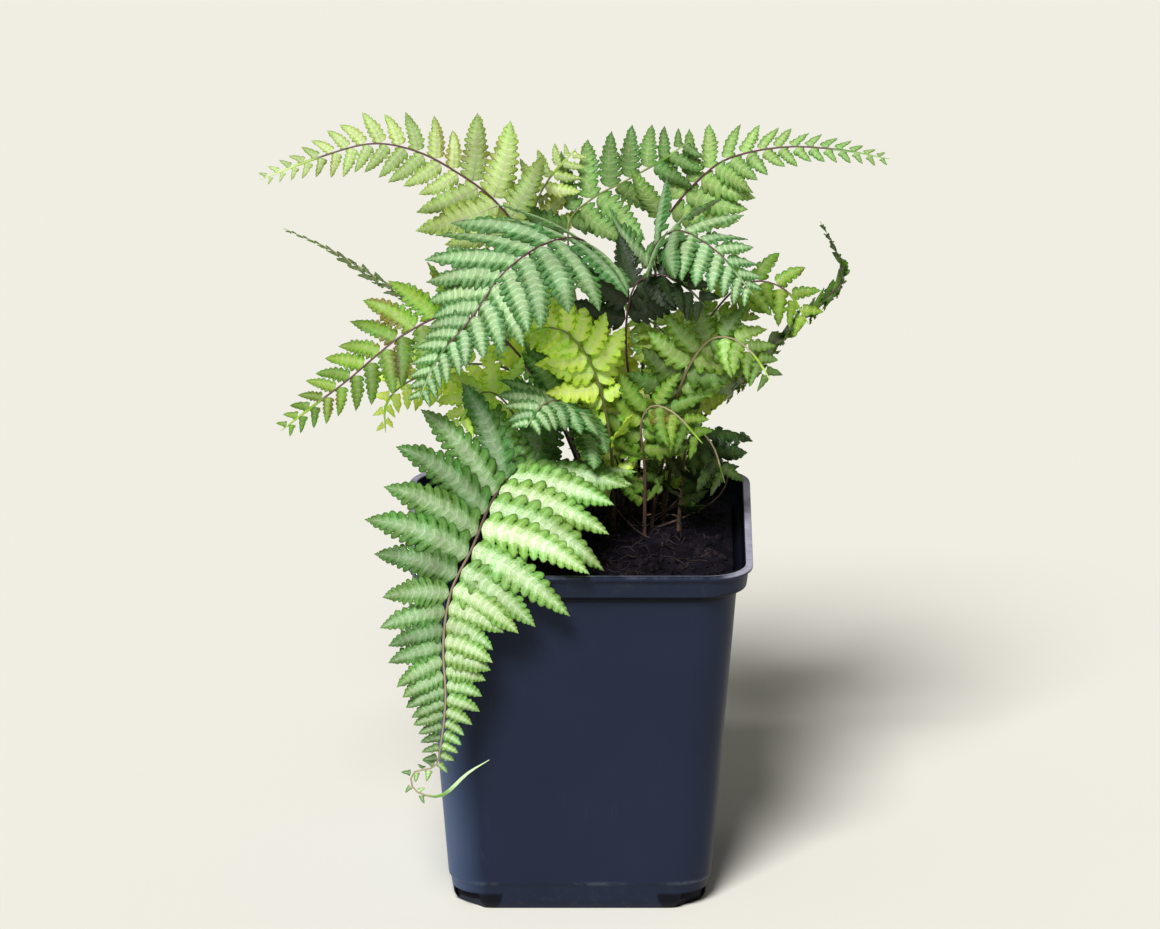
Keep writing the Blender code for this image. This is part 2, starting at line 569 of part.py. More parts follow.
def plan_pairs(rib, spec):
    """The ends of the leaflet pairs' places along the rib, wider where the leaflets are longer."""
    ends = [rib.start]
    while ends[-1] < rib.length - PAIR_GAP:
        share = rib.share(ends[-1])
        usual = PAIR_GAP + PAIR_GAP_GROWTH * along_blade(spec["long"], share)
        ends.append(ends[-1] + usual * along_blade(spec.get("crowd", (1,)), share))
    stretch = (rib.length - TIP_BARE - rib.start) / (ends[-1] - rib.start)
    return [rib.start + (end - rib.start) * stretch for end in ends]


def apart(leaf, neighbour, least):
    """True if two leaflets that follow each other on the same side of a rib don't run together."""
    if not neighbour:
        return True
    gaps = np.array(leaf.middle_line())[:, None] - np.array(neighbour.middle_line())[None]
    return np.sqrt((gaps ** 2).sum(2)).min() > least


def place_leaflet(rib, spec, s, way, length, gap, lean, lift, roll, neighbour, is_clear):
    """The first leaflet that is clear of everything, bent further or made shorter as it has to be."""
    for shrink in SHRINKS:
        for extra in LIFTS:
            leaf = Leaflet(rib, s, way, length * shrink, WIDEST_SHARE * gap, lean, lift + extra, roll,
                           spec["droop"])
            if apart(leaf, neighbour, NEIGHBOUR_SHARE * gap) and is_clear(leaf.samples()):
                return leaf
    return None


def plan_fronds():
    """Every frond's rib, the ends of its leaflets' places along it, and its pairs of leaflets."""
    ribs = {name: Rib(spec) for name, spec in FRONDS.items()}
    taken = []
    plans = {}
    for number, (name, spec) in enumerate(FRONDS.items()):
        rng = random.Random(SEED + number)
        rib = ribs[name]
        ends = plan_pairs(rib, spec)
        stalks = [point for key, other in ribs.items() if key != name for point in other.line[::2]]
        others = tree(taken + stalks)
        own = []
        rows = []
        for start, end in zip(ends, ends[1:]):
            share = rib.share((start + end) / 2)
            length, lean, lift = [along_blade(spec[key], share) for key in ("long", "lean", "lift")]
            roll = along_blade(spec.get("roll", (0,)), share)
            earlier = tree([point for row in own[:-1] for point in row] or [Vector((0, 0, -99))])

            def is_clear(points):
                return (clear_of_pot(points) and all(others.find(p)[2] > CLEAR_OTHER for p in points)
                        and all(earlier.find(p)[2] > CLEAR_OWN for p in points))

            pair = []
            for way, neighbour in zip((-1, 1), rows[-1] if rows else (None, None)):
                root = start + (end - start) * (0.5 + way * STAGGER)
                pair.append(place_leaflet(rib, spec, root, way, length * rng.uniform(*LENGTH_RANGE),
                                          end - start, lean + rng.uniform(*LEAN_RANGE),
                                          lift + rng.uniform(*LIFT_RANGE),
                                          roll + rng.uniform(*ROLL_RANGE), neighbour, is_clear))
            own.append([point for leaf in pair if leaf for point in leaf.samples()])
            rows.append(pair)
        taken += [point for row in own for point in row]
        plans[name] = (rib, ends, rows)
    return plans


# ---------------------------------------------------------------- fronds


def lobe_count(length, spec):
    """Long leaflets have all their lobes, shorter ones fewer, and the last are plain teeth."""
    return min(spec["lobes"], sum(length > size for size in LOBE_SIZES))


def add_leaflet(bm, leaf, first, last, over, under, lobes):
    """Grows a leaflet out of four root vertices: the rib's edge before and after it, one over, one under."""
    def point(t, width, height):
        middle, across, up = leaf.frame(t)
        return bm.verts.new(middle + across * width + up * height)

    tops, bottoms = [over], [under]
    edges = {-1: [first], 1: [last]}
    tips = {-1: [], 1: []}
    for k in range(lobes):
        at_tip = (k + LOBE_TIP) / (lobes + LOBE_END)
        at_notch = (k + LOBE_NOTCH) / (lobes + LOBE_END)
        thick = half_thickness(leaf) * (1 - THINNING * at_notch)
        tops.append(point(at_notch, 0, thick))
        bottoms.append(point(at_notch, 0, -thick))
        for way in (-1, 1):
            half = leaf.half_width(at_tip)
            tips[way].append(point(at_tip, way * half, -CUPPING * half))
            edges[way].append(point(at_notch, way * leaf.half_width(at_notch) * NOTCH_KEEP, 0))
    apex = point(1.0, 0, 0)
    for way in (-1, 1):
        for middle in (tops, bottoms):
            for k, tip in enumerate(tips[way]):
                bm.faces.new((middle[k], edges[way][k], tip))
                bm.faces.new((middle[k], tip, middle[k + 1]))
                bm.faces.new((middle[k + 1], tip, edges[way][k + 1]))
            bm.faces.new((middle[-1], edges[way][-1], apex))


def half_thickness(leaf):
    """Half the thickness at a leaflet's root."""
    return (BLADE_THICK + BLADE_THICKEN * leaf.length) / 2


def add_ring(bm, rib, s, stagger):
    """Four rib vertices at a station: top, right, bottom, left. Right sits further on than left."""
    middle, _, _, up = rib.at(s)
    right, _, right_side, _ = rib.at(s + stagger)
    left, _, left_side, _ = rib.at(s - stagger)
    r = rib.radius(s)
    places = (middle + up * r, right + right_side * r, middle - up * r, left - left_side * r)
    return [bm.verts.new(place) for place in places]


def join_rings(bm, a, b, corners=(0, 1, 2, 3)):
    """The rib's faces between two rings, each from the given corner to the next one, as two triangles."""
    for k in corners:
        m = (k + 1) % 4
        bm.faces.new((a[k], b[k], b[m]))
        bm.faces.new((a[k], b[m], a[m]))


def add_root(bm, before, after, edge, leaf):
    """The rib's two faces on a leaflet's side, opened so that the leaflet grows out of them."""
    middle, _, up = leaf.frame(0.0)
    made = []
    for corner, height in ((0, 1), (2, -1)):
        rim = bm.verts.new(middle + up * height * half_thickness(leaf))
        bm.faces.new((before[corner], before[edge], rim))
        bm.faces.new((before[corner], rim, after[corner]))
        bm.faces.new((after[corner], rim, after[edge]))
        made.append(rim)
    return made


def make_frond(name, plan, finish):
    rib, ends, rows = plan
    bm = bmesh.new()
    foot = add_ring(bm, rib, 0, 0)
    ring = add_ring(bm, rib, 0, 0)
    for vert in foot:
        vert.co.z = SOIL_EDGE - STALK_DEPTH + HOLE_FLOOR
    bm.faces.new(foot)
    join_rings(bm, foot, ring)
    steps = max(2, int(ends[0] / STALK_STEP))
    for k in range(1, steps):
        following = add_ring(bm, rib, ends[0] * k / steps, 0)
        join_rings(bm, ring, following)
        ring = following
    for i, pair in enumerate(rows):
        gap = ends[i + 1] - ends[i]
        lead = gap * (1 - ROOT_SHARE) / 2
        before = add_ring(bm, rib, ends[i] + lead, gap * STAGGER)
        after = add_ring(bm, rib, ends[i + 1] - lead, gap * STAGGER)
        join_rings(bm, ring, before)
        for way, leaf in zip((-1, 1), pair):
            edge, corners = (1, (0, 1)) if way > 0 else (3, (3, 2))
            if not leaf:
                join_rings(bm, before, after, corners)
                continue
            over, under = add_root(bm, before, after, edge, leaf)
            lobes = lobe_count(leaf.length, FRONDS[name])
            add_leaflet(bm, leaf, before[edge], after[edge], over, under, lobes)
        ring = after
    tip = bm.verts.new(rib.point(rib.length))
    for k in range(4):
        bm.faces.new((ring[k], tip, ring[(k + 1) % 4]))
    make_object("frond_" + name, bm, finish)


def main():
    clear_scene()
    make_pot()
    make_soil()
    make_crown()
    finishes = {key: material(key + "_frond", COLOURS[key], 0.5) for key in ("green", "silver", "lime")}
    for name, plan in plan_fronds().items():
        make_frond(name, plan, finishes.get(name.split("_")[0], finishes["green"]))


main()
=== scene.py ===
import math
import random

import bmesh
import bpy
import numpy as np
from mathutils import Matrix, Vector, noise
from mathutils.kdtree import KDTree


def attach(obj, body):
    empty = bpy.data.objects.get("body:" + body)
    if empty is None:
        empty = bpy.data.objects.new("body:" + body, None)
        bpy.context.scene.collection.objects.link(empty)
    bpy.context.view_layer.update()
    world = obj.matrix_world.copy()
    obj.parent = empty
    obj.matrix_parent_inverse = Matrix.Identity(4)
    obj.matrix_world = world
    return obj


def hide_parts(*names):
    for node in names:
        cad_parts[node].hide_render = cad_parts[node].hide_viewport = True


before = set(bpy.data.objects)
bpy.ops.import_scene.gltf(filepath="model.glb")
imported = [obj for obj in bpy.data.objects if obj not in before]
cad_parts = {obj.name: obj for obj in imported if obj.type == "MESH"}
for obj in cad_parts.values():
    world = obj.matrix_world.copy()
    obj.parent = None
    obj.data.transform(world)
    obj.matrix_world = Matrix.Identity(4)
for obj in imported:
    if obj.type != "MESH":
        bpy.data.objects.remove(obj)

# A painted fern in a square nursery pot. Shapes are in millimetres and become metres in addPiece;
# the camera, the lamps and the materials' patterns are in metres.
mm = 0.001
fullTurn = 6.3  # radians, a little over a full turn
scene = bpy.context.scene
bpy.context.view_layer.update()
print("frame loaded with", len(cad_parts), "nodes")


def toMesh(bm, name):
    mesh = bpy.data.meshes.new(name)
    bm.to_mesh(mesh)
    bm.free()
    return mesh


def toScene(name, data):
    made = bpy.data.objects.new(name, data)
    scene.collection.objects.link(made)
    return made


# camera, floor and light

view = dict(elevation=18.4, distance=3.5, lens=413, aim=(0, 0, 0.1125), farthest=50)
studio = dict(
    floor=(0.87, 0.85, 0.765), floorSize=30, floorShade=0.985, sky=(1.0, 0.985, 0.95), skyStrength=0.14,
    sun=dict(energy=3.8, angle=math.radians(19)), sunFrom=(-0.26, -0.95, 1.05),
    fill=dict(energy=0.5, size=0.12, spread=math.radians(14), color=(0.85, 1.0, 0.98)),
    fillFrom=(-1.25, 0.05, 0.045))


def setCamera():
    tilt = math.radians(view["elevation"])
    data = bpy.data.cameras.new("camera")
    data.lens, data.clip_end = view["lens"], view["farthest"]
    camera = toScene("camera", data)
    camera.location = Vector(view["aim"]) + Vector((0, -math.cos(tilt), math.sin(tilt))) * view["distance"]
    camera.rotation_euler = (math.pi / 2 - tilt, 0, 0)
    scene.camera = camera


def addLamp(name, kind):
    light = bpy.data.lights.new(name, kind)
    for key, value in studio[name].items():
        setattr(light, key, value)
    lamp = toScene(name, light)
    lamp.location = studio[name + "From"]
    lamp.rotation_euler = lamp.location.to_track_quat("Z", "Y").to_euler()
    return lamp


def setStudio():
    world = bpy.data.worlds.new("studio")
    world.use_nodes = True
    sky = world.node_tree.nodes["Background"].inputs
    sky["Color"].default_value = (*studio["sky"], 1)
    sky["Strength"].default_value = studio["skyStrength"]
    scene.world = world
    scene.view_settings.view_transform = "Standard"
    addLamp("sun", "SUN")
    # the fill only lights what makePot puts in this collection
    addLamp("fill", "AREA").light_linking.receiver_collection = bpy.data.collections.new("litByFill")


def setFloor():
    bm = bmesh.new()
    bmesh.ops.create_grid(bm, x_segments=1, y_segments=1, size=studio["floorSize"])
    floor = toScene("floor", toMesh(bm, "floor"))
    f = Finish("paleFloor", 0.9, shine=0.1)
    shade = [c * studio["floorShade"] for c in studio["floor"]]
    f.give({"Base Color": f.mix(f.noise(6, 3), shade, studio["floor"])})
    floor.data.materials.append(f.material)


class Finish:
    # a material in the making; a value is a number, a colour or the output of an earlier step
    def __init__(self, name, roughness, shine=0.5):
        self.material = bpy.data.materials.new(name)
        self.material.use_nodes = True
        self.tree = self.material.node_tree
        self.shader = self.tree.nodes["Principled BSDF"]
        self.place = self.add("TexCoord").outputs["Object"]
        self.give({"Roughness": roughness, "Specular IOR Level": shine})

    def give(self, values):
        for name, value in values.items():
            self.plug(self.shader.inputs[name], value)

    def plug(self, socket, value):
        if isinstance(value, bpy.types.NodeSocket):
            self.tree.links.new(value, socket)
        elif socket.type == "RGBA" and len(value) == 3:
            socket.default_value = (*value, 1)
        else:
            socket.default_value = value

    def add(self, kind, values=None, **settings):
        node = self.tree.nodes.new("ShaderNode" + kind)
        for name, value in settings.items():
            setattr(node, name, value)
        for name, value in (values or {}).items():
            self.plug(node.inputs[name], value)
        return node

    def mix(self, factor, low, high):
        return self.add("Mix", {0: factor, 6: low, 7: high}, data_type="RGBA").outputs[2]

    def maths(self, operation, *values):
        return self.add("Math", dict(enumerate(values)), operation=operation).outputs[0]

    def times(self, product, *others):
        for other in others:
            product = self.maths("MULTIPLY", product, other)
        return product

    def line(self, value, slope, start):
        return self.maths("MULTIPLY_ADD", value, slope, start)

    def larger(self, one, other):
        return self.maths("MAXIMUM", one, other)

    def ramp(self, value, low, high, start=0.0, end=1.0):
        values = {"Value": value, "From Min": low, "From Max": high, "To Min": start, "To Max": end}
        return self.add("MapRange", values, interpolation_type="SMOOTHSTEP").outputs["Result"]

    def vector(self, operation, *values):
        return self.add("VectorMath", dict(enumerate(values)), operation=operation).outputs

    def noise(self, scale, detail, roughness=0.5, at=None):
        values = {"Vector": at or self.place, "Scale": scale, "Detail": detail, "Roughness": roughness}
        return self.add("TexNoise", values).outputs["Fac"]

    def stretched(self, scale, turn=(0, 0, 0)):
        values = {"Vector": self.place, "Scale": scale, "Rotation": turn}
        return self.add("Mapping", values).outputs["Vector"]

    def attribute(self, name, output="Vector"):
        return self.add("Attribute", attribute_name=name).outputs[output]

    def split(self, vector):
        return self.add("SeparateXYZ", {"Vector": vector}).outputs

    def emboss(self, height, strength, distance):
        made = self.add("Bump", {"Height": height, "Strength": strength, "Distance": distance})
        self.give({"Normal": made.outputs["Normal"]})


def addPiece(name, bm, finishes, slot, *nodes, sharp=40):
    # bm is in millimetres and already in place
    bmesh.ops.scale(bm, vec=(mm, mm, mm), verts=bm.verts)
    mesh = toMesh(bm, name)
    for finish in finishes:
        mesh.materials.append(finish)
    mesh.shade_smooth()
    mesh.set_sharp_from_angle(angle=math.radians(sharp))
    piece = toScene(name, mesh)
    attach(piece, "root")
    if nodes:
        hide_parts(*nodes)
    return piece


def unit(v):
    return v / max(np.linalg.norm(v), 1e-9)


def unitRows(v):
    return v / np.maximum(np.linalg.norm(v, axis=1, keepdims=True), 1e-9)


def newVerts(made):
    return [g for g in made["geom"] if isinstance(g, bmesh.types.BMVert)]


# moulds: small meshes whose points are moved to their places each time they are used

tubeMoulds = {}


def coordinates(mesh):
    found = np.zeros(len(mesh.vertices) * 3)
    mesh.vertices.foreach_get("co", found)
    return found.reshape(-1, 3)


def tubeMould(stations, sides):
    # a closed tube of radius 1 with a ring at each whole number of its length
    if (stations, sides) not in tubeMoulds:
        bm = bmesh.new()
        bmesh.ops.create_circle(bm, cap_ends=True, segments=sides, radius=1)
        edges = bm.edges[:]
        for _ in range(stations - 1):
            grown = bmesh.ops.extrude_edge_only(bm, edges=edges)
            bmesh.ops.translate(bm, vec=(0, 0, 1), verts=newVerts(grown))
            edges = [g for g in grown["geom"] if isinstance(g, bmesh.types.BMEdge)]
        bmesh.ops.contextual_create(bm, geom=edges)
        bmesh.ops.recalc_face_normals(bm, faces=bm.faces)
        mesh = toMesh(bm, "tubeMould")
        tubeMoulds[stations, sides] = mesh, coordinates(mesh)
    return tubeMoulds[stations, sides]


def press(bm, mould, places, finish=0, values=None):
    # adds a copy of the mould to bm with its points at the given places and its point values filled in
    copy = mould.copy()
    copy.vertices.foreach_set("co", np.asarray(places, float).ravel())
    for name, rows in (values or {}).items():
        kind, field = ("FLOAT", "value") if np.ndim(rows) == 1 else ("FLOAT_VECTOR", "vector")
        layer = copy.attributes.get(name) or copy.attributes.new(name, kind, "POINT")
        layer.data.foreach_set(field, np.asarray(rows, float).ravel())
    copy.polygons.foreach_set("material_index", [finish] * len(copy.polygons))
    bm.from_mesh(copy)
    bpy.data.meshes.remove(copy)


def addTube(bm, path, radii, sides, frames=None, finish=0, tints=None):
    # a tube along a path; frames gives the upper side and the right side at each of its points
    mould, spots = tubeMould(len(path), sides)
    path = np.asarray(path, float)
    if frames is None:
        along = unitRows(np.gradient(path, axis=0))
        side = unitRows(np.cross(along, (0.13, 0.21, 1.0)))  # any direction that no path follows
        over = np.cross(side, along)
    else:
        over, side = [np.asarray(rows) for rows in zip(*frames)]
    k = np.rint(spots[:, 2]).astype(int)
    radii = np.asarray(radii)[k, None]
    places = path[k] + (over[k] * spots[:, :1] + side[k] * spots[:, 1:2]) * radii
    press(bm, mould, places, finish, {"stalkTint": np.asarray(tints)[k]} if tints is not None else None)


# the pot

pot = dict(height=96.5, foot=32.0, bodyTop=41.0, collar=44.1, lip=45.2, lipWidth=1.9, wall=1.0, floor=2.2,
           footBand=7.0, bandStep=2.6, collarFrom=89.0, corner=11.0, cornerSteps=9, sideSteps=6, wallSteps=8,
           softEdge=0.45, bow=0.35)
notch = dict(start=39.4, height=4.5, flare=2.0, half=4.5, reach=25, below=2)  # cut out of each foot corner
homeCorner = 0.3  # corner radius of the square of half width 1 that all rings of the pot start from


def fitRing(verts, home, half, radius, z, bow=0.0):
    # home is each point's place on the starting square
    straight = 1 - homeCorner
    for vert in verts:
        inner = Vector([min(max(c, -straight), straight) for c in vert[home].xy])
        out = (vert[home].xy - inner).normalized()
        middle = 1 - (min(abs(inner.x), abs(inner.y)) / straight) ** 2
        vert.co = (*(inner / straight * (half - radius) + out * (radius - bow * middle)), z)


def softProfile(rows, size):
    # each corner of the profile becomes three points, so that its edge is slightly rounded
    rows = [np.array(row, float) for row in rows]
    soft = [rows[0]]
    for before, here, after in zip(rows, rows[1:], rows[2:]):
        back, on = before - here, after - here
        if abs(back[0] * on[2] - back[2] * on[0]) < 0.06 * np.linalg.norm(back) * np.linalg.norm(on):
            soft.append(here)
            continue
        a, b = [here + way * min(0.4, size / max(math.hypot(way[0], way[2]), 1e-6)) for way in (back, on)]
        soft += [a, (a + b + 2 * here) / 4, b]
    return soft + [rows[-1]]


def potProfile():
    # half width, corner radius and height of each ring, from the underside up the outside and down again
    foot, collar, lip, top = [pot[key] for key in ("foot", "collar", "lip", "height")]
    r, steps = pot["corner"], pot["wallSteps"]
    bodyFoot, bodyFrom = foot + pot["bandStep"], pot["footBand"] + 0.7
    body = [(bodyFoot + (pot["bodyTop"] - foot - pot["bandStep"]) * k / steps, r - 0.8 + 0.6 * k / steps,
             bodyFrom + (pot["collarFrom"] - pot["footBand"] - 0.7) * k / steps) for k in range(steps + 1)]
    outside = [
        (foot - 1.0, r - 2.6, 0.0),
        (foot, r - 2.0, 0.0),
        (foot + 1.3, r - 1.4, 2.2),
        (foot + 2.1, r - 1.0, pot["footBand"]),
        *body,
        (collar - 0.6, r, pot["collarFrom"] + 1.3),
        (collar, r, top - 1.5),
        (lip, r + 0.4, top - 1.1),
        (lip, r + 0.4, top),
    ]
    inside = [
        (lip - pot["lipWidth"], r - 0.6, top),
        (collar - pot["wall"] - 0.4, r - 0.8, pot["collarFrom"] + 2.2),
        (pot["bodyTop"] - pot["wall"], r - 1.1, pot["collarFrom"] + 0.2),
        (foot + 1.4, r - 1.9, pot["floor"] + 4.0),
        (foot + 0.3, r - 2.4, pot["floor"]),
        (foot - 1.0, r - 2.8, pot["floor"]),
    ]
    return softProfile(outside + inside, pot["softEdge"])


def potBow(z, half):
    # the thin walls are drawn in a little at mid height
    inner = half < pot["bodyTop"] + 0.1 and pot["footBand"] < z < pot["collarFrom"]
    share = (z - pot["footBand"]) / (pot["collarFrom"] - pot["footBand"])
    return pot["bow"] * math.sin(math.pi * share) if inner else 0


def makePotBody():
    bm = bmesh.new()
    bmesh.ops.create_grid(bm, x_segments=1, y_segments=1, size=1)
    bmesh.ops.bevel(bm, geom=bm.verts[:], affect="VERTICES", offset=homeCorner, segments=pot["cornerSteps"],
                    profile=0.5, material=-1)
    sides = [e for e in bm.edges if e.calc_length() > 1]
    bmesh.ops.subdivide_edges(bm, edges=sides, cuts=pot["sideSteps"])
    home = bm.verts.layers.float_vector.new("home")
    for vert in bm.verts:
        vert[home] = vert.co
    face = bm.faces[:][0]
    rows = potProfile()
    fitRing(face.verts, home, *rows[0])
    for number, (half, radius, z) in enumerate(rows[1:]):
        grown = bmesh.ops.extrude_face_region(bm, geom=[face])["geom"]
        if number:  # only the first one stays, as the underside
            bmesh.ops.delete(bm, geom=[face], context="FACES_ONLY")
        face = [g for g in grown if isinstance(g, bmesh.types.BMFace)][0]
        fitRing(face.verts, home, half, radius, z, potBow(z, half))
    bm.verts.layers.float_vector.remove(home)
    bmesh.ops.recalc_face_normals(bm, faces=bm.faces)
    return bm


def cutBaseCorners(piece):
    # each foot corner is cut away, as on a pot that has to drain
    bm = bmesh.new()
    for quarter in range(4):
        turn = Matrix.Rotation(math.pi / 4 + quarter * math.pi / 2, 4, "Z")
        for vert in bmesh.ops.create_cube(bm, size=1)["verts"]:
            top = vert.co.z > 0
            out = notch["start"] + (notch["flare"] if top else 0) + (notch["reach"] if vert.co.x > 0 else 0)
            across = (notch["half"] + (0 if top else 1)) * (1 if vert.co.y > 0 else -1)
            vert.co = turn @ Vector((out, across, notch["height"] if top else -notch["below"])) * mm
    cutter = toScene("cornerCutter", toMesh(bm, "cornerCutter"))
    cut = piece.modifiers.new("cornerCuts", "BOOLEAN")
    cut.object = cutter
    cut.solver = "EXACT"
    done = bpy.data.meshes.new_from_object(piece.evaluated_get(bpy.context.evaluated_depsgraph_get()))
    piece.modifiers.clear()
    piece.data = done
    bpy.data.objects.remove(cutter)


# colours, and how much each kind of mark shows
potFinish = dict(
    dark=(0.0115, 0.0165, 0.035), light=(0.0165, 0.0235, 0.048), roughness=0.36, shine=0.09,
    scuff=(0.09, 0.10, 0.13), scuffs=0.12, dustColour=(0.10, 0.085, 0.075), dust=0.14,
    # among these colours, the rubbed-pale one is partly a painted highlight on the lip's edge, the two
    # near-black ones and the share after them are painted shade, and the last one is a painted highlight on
    # the lip's top
    worn=(0.13, 0.15, 0.21), wearAndHighlightShare=0.35, grime=(0.002, 0.002, 0.004), inside=(0.003, 0.003, 0.006),
    paintedShadeShare=0.85, paintedLipHighlight=(0.55, 0.53, 0.66))
# where the marks are, in metres: each pair goes from where a mark starts to where it is full
potMarks = dict(
    rimDust=(0.086, 0.0965), footDust=(0.010, 0.001), lipTop=(0.0958, 0.0963),
    stepTop=(0.0086, 0.0077), stepFoot=(0.0068, 0.0075), collarFoot=(0.0878, 0.0888),
    collarRoof=(0.0908, 0.0901), notchTop=(0.0052, 0.0040), innerFrom=(0.0898, 0.0906),  # heights
    lipEdge=(0.0113, 0.0119), innerWall=(0.0104, 0.0101), sidesFrom=(0.0100, 0.0104),
    lineFrom=(0.0100, 0.0103), lineTo=(0.0112, 0.0107),  # reach from the rounded square below
    notches=(0.0535, 0.0545), lipSides=(0.0355, 0.0425), square=(0.0331, 0.0331, 1.0))


def potPlastic():
    look = potFinish
    f = Finish("darkBluePlastic", look["roughness"], look["shine"])

    def mark(value, name):
        return f.ramp(value, *potMarks[name])

    cloudy, patches, grit = f.noise(28, 4, 0.55), f.noise(45, 3), f.noise(420, 4, 0.7)
    colour = f.mix(cloudy, look["dark"], look["light"])
    # pale scuffs: thin streaks that run mostly up and down, broken up by a coarse noise
    streaks = f.noise(1, 2, at=f.stretched((900, 900, 60), (0.12, 0.2, 0)))
    scuff = f.times(f.ramp(streaks, 0.63, 0.75), f.ramp(patches, 0.52, 0.68))
    colour = f.mix(f.times(scuff, look["scuffs"]), colour, look["scuff"])
    # a little dry soil dust near the rim and in the foot band
    height = f.split(f.place)["Z"]
    dusty = f.larger(mark(height, "rimDust"), mark(height, "footDust"))
    dust = f.times(dusty, f.ramp(grit, 0.48, 0.72), look["dust"])
    colour = f.mix(dust, colour, look["dustColour"])
    # the lip's outer edge gets a thin painted highlight, and the step above the foot is rubbed pale; both
    # use the same pale colour
    size = f.vector("ABSOLUTE", f.place)[0]
    across = f.split(size)
    past = f.vector("MAXIMUM", f.vector("SUBTRACT", size, potMarks["square"])[0], (0, 0, 0))[0]
    reach = f.vector("LENGTH", past)["Value"]
    top = mark(height, "lipTop")
    lip = f.times(mark(reach, "lipEdge"), top)
    step = f.times(mark(height, "stepTop"), mark(height, "stepFoot"))
    wearAndHighlightMask = f.times(f.larger(lip, step), f.ramp(patches, 0.46, 0.62), f.ramp(grit, 0.35, 0.6))
    colour = f.mix(f.times(wearAndHighlightMask, look["wearAndHighlightShare"]), colour, look["worn"])
    # painted shade: the band under the collar and the four drain notches are painted near black, standing
    # for the shadow that falls there
    under = f.times(mark(height, "collarFoot"), mark(height, "collarRoof"))
    notchShade = f.times(mark(f.maths("ADD", across["X"], across["Y"]), "notches"), mark(height, "notchTop"))
    colour = f.mix(f.times(f.larger(under, notchShade), look["paintedShadeShare"]), colour, look["grime"])
    # the wall above the soil is dull and dark, which is mostly painted shade and partly soil dust; the top
    # of the lip has a painted highlight, strongest along both sides
    wall = f.times(mark(reach, "innerWall"), mark(height, "innerFrom"), look["paintedShadeShare"])
    colour = f.mix(wall, colour, look["inside"])
    sides = f.times(mark(across["X"], "lipSides"), mark(reach, "sidesFrom"))
    thin = f.times(mark(reach, "lineFrom"), mark(reach, "lineTo"), f.ramp(patches, 0.42, 0.52, 0, 0.6))
    paintedLipHighlight = f.times(top, f.larger(sides, thin), f.line(grit, 0.9, 0.3))
    colour = f.mix(paintedLipHighlight, colour, look["paintedLipHighlight"])
    rough = f.maths("ADD", f.times(cloudy, 0.14), f.line(scuff, 0.2, look["roughness"]))
    f.give({"Base Color": colour, "Roughness": f.line(dust, 0.3, rough)})
    f.emboss(f.line(cloudy, 3, f.noise(2600, 2)), 0.35, 0.00006)
    return f.material


def makePot():
    piece = addPiece("potShell", makePotBody(), [potPlastic()], "pot_plastic", "pot")
    cutBaseCorners(piece)
    bpy.data.collections["litByFill"].objects.link(piece)
    piece.data.shade_smooth()
    piece.data.set_sharp_from_angle(angle=math.radians(38))
    print("pot made:", len(piece.data.polygons), "faces")


# soil, rhizome and the stumps of old stalks

# each of the waves and grains is its height, how often it comes and where it starts
soil = dict(edge=91.3, heap=1.9, heapSpread=20.0, crown=(10.0, 16.0), gap=0.3, cells=150, seed=3,
            plainRim=4, rimSunk=0.6,
            waves=((0.7, 0.11, 3.7), (0.5, 0.3, 9.1)), grains=((0.35, 1.3, 5.0), (0.2, 2.9, 8.0)),
            clods=1.1, clodsOften=0.33)
crumbs = dict(count=620, size=(0.35, 1.5), small=2.5, fine=0.8, knobs=0.45, margin=2.0)
fibres = dict(count=240, length=(2, 8), thin=0.05, thick=0.13, rise=(0.1, 0.9), turn=0.35, wobble=0.3,
              within=36, margin=4.0, steps=7)
soilLooks = {
    "pottingSoil": dict(dark=(0.0025, 0.0016, 0.0045), light=(0.0115, 0.008, 0.015),
                        speck=(0.065, 0.053, 0.07), wet=0.6),
    "soilCrumb": dict(dark=(0.003, 0.002, 0.004), light=(0.021, 0.015, 0.020), speck=(0.075, 0.06, 0.065),
                      wet=0.75),
    "peatFibre": dict(dark=(0.016, 0.011, 0.012), light=(0.055, 0.042, 0.042), speck=(0.14, 0.115, 0.115),
                      wet=0.85),
    "dryStem": dict(dark=(0.06, 0.038, 0.035), light=(0.16, 0.11, 0.095), speck=(0.24, 0.19, 0.16), wet=0.6),
}


def ripples(x, y, waves):
    return sum(size * noise.noise((x * often, y * often, start)) for size, often, start in waves)


def soilHeight(x, y):
    heap = soil["heap"] * math.exp(-((x - soil["crown"][0]) ** 2 + (y - soil["crown"][1]) ** 2)
                                   / (2 * soil["heapSpread"] ** 2))
    return soil["edge"] + heap + ripples(x, y, soil["waves"])


def roughSoil(x, y):
    # the same surface with clods and grains
    often = soil["clodsOften"]
    clods = noise.turbulence((x * often, y * often, 1.3), 3, True) - 0.55
    return soilHeight(x, y) + soil["clods"] * clods + ripples(x, y, soil["grains"])


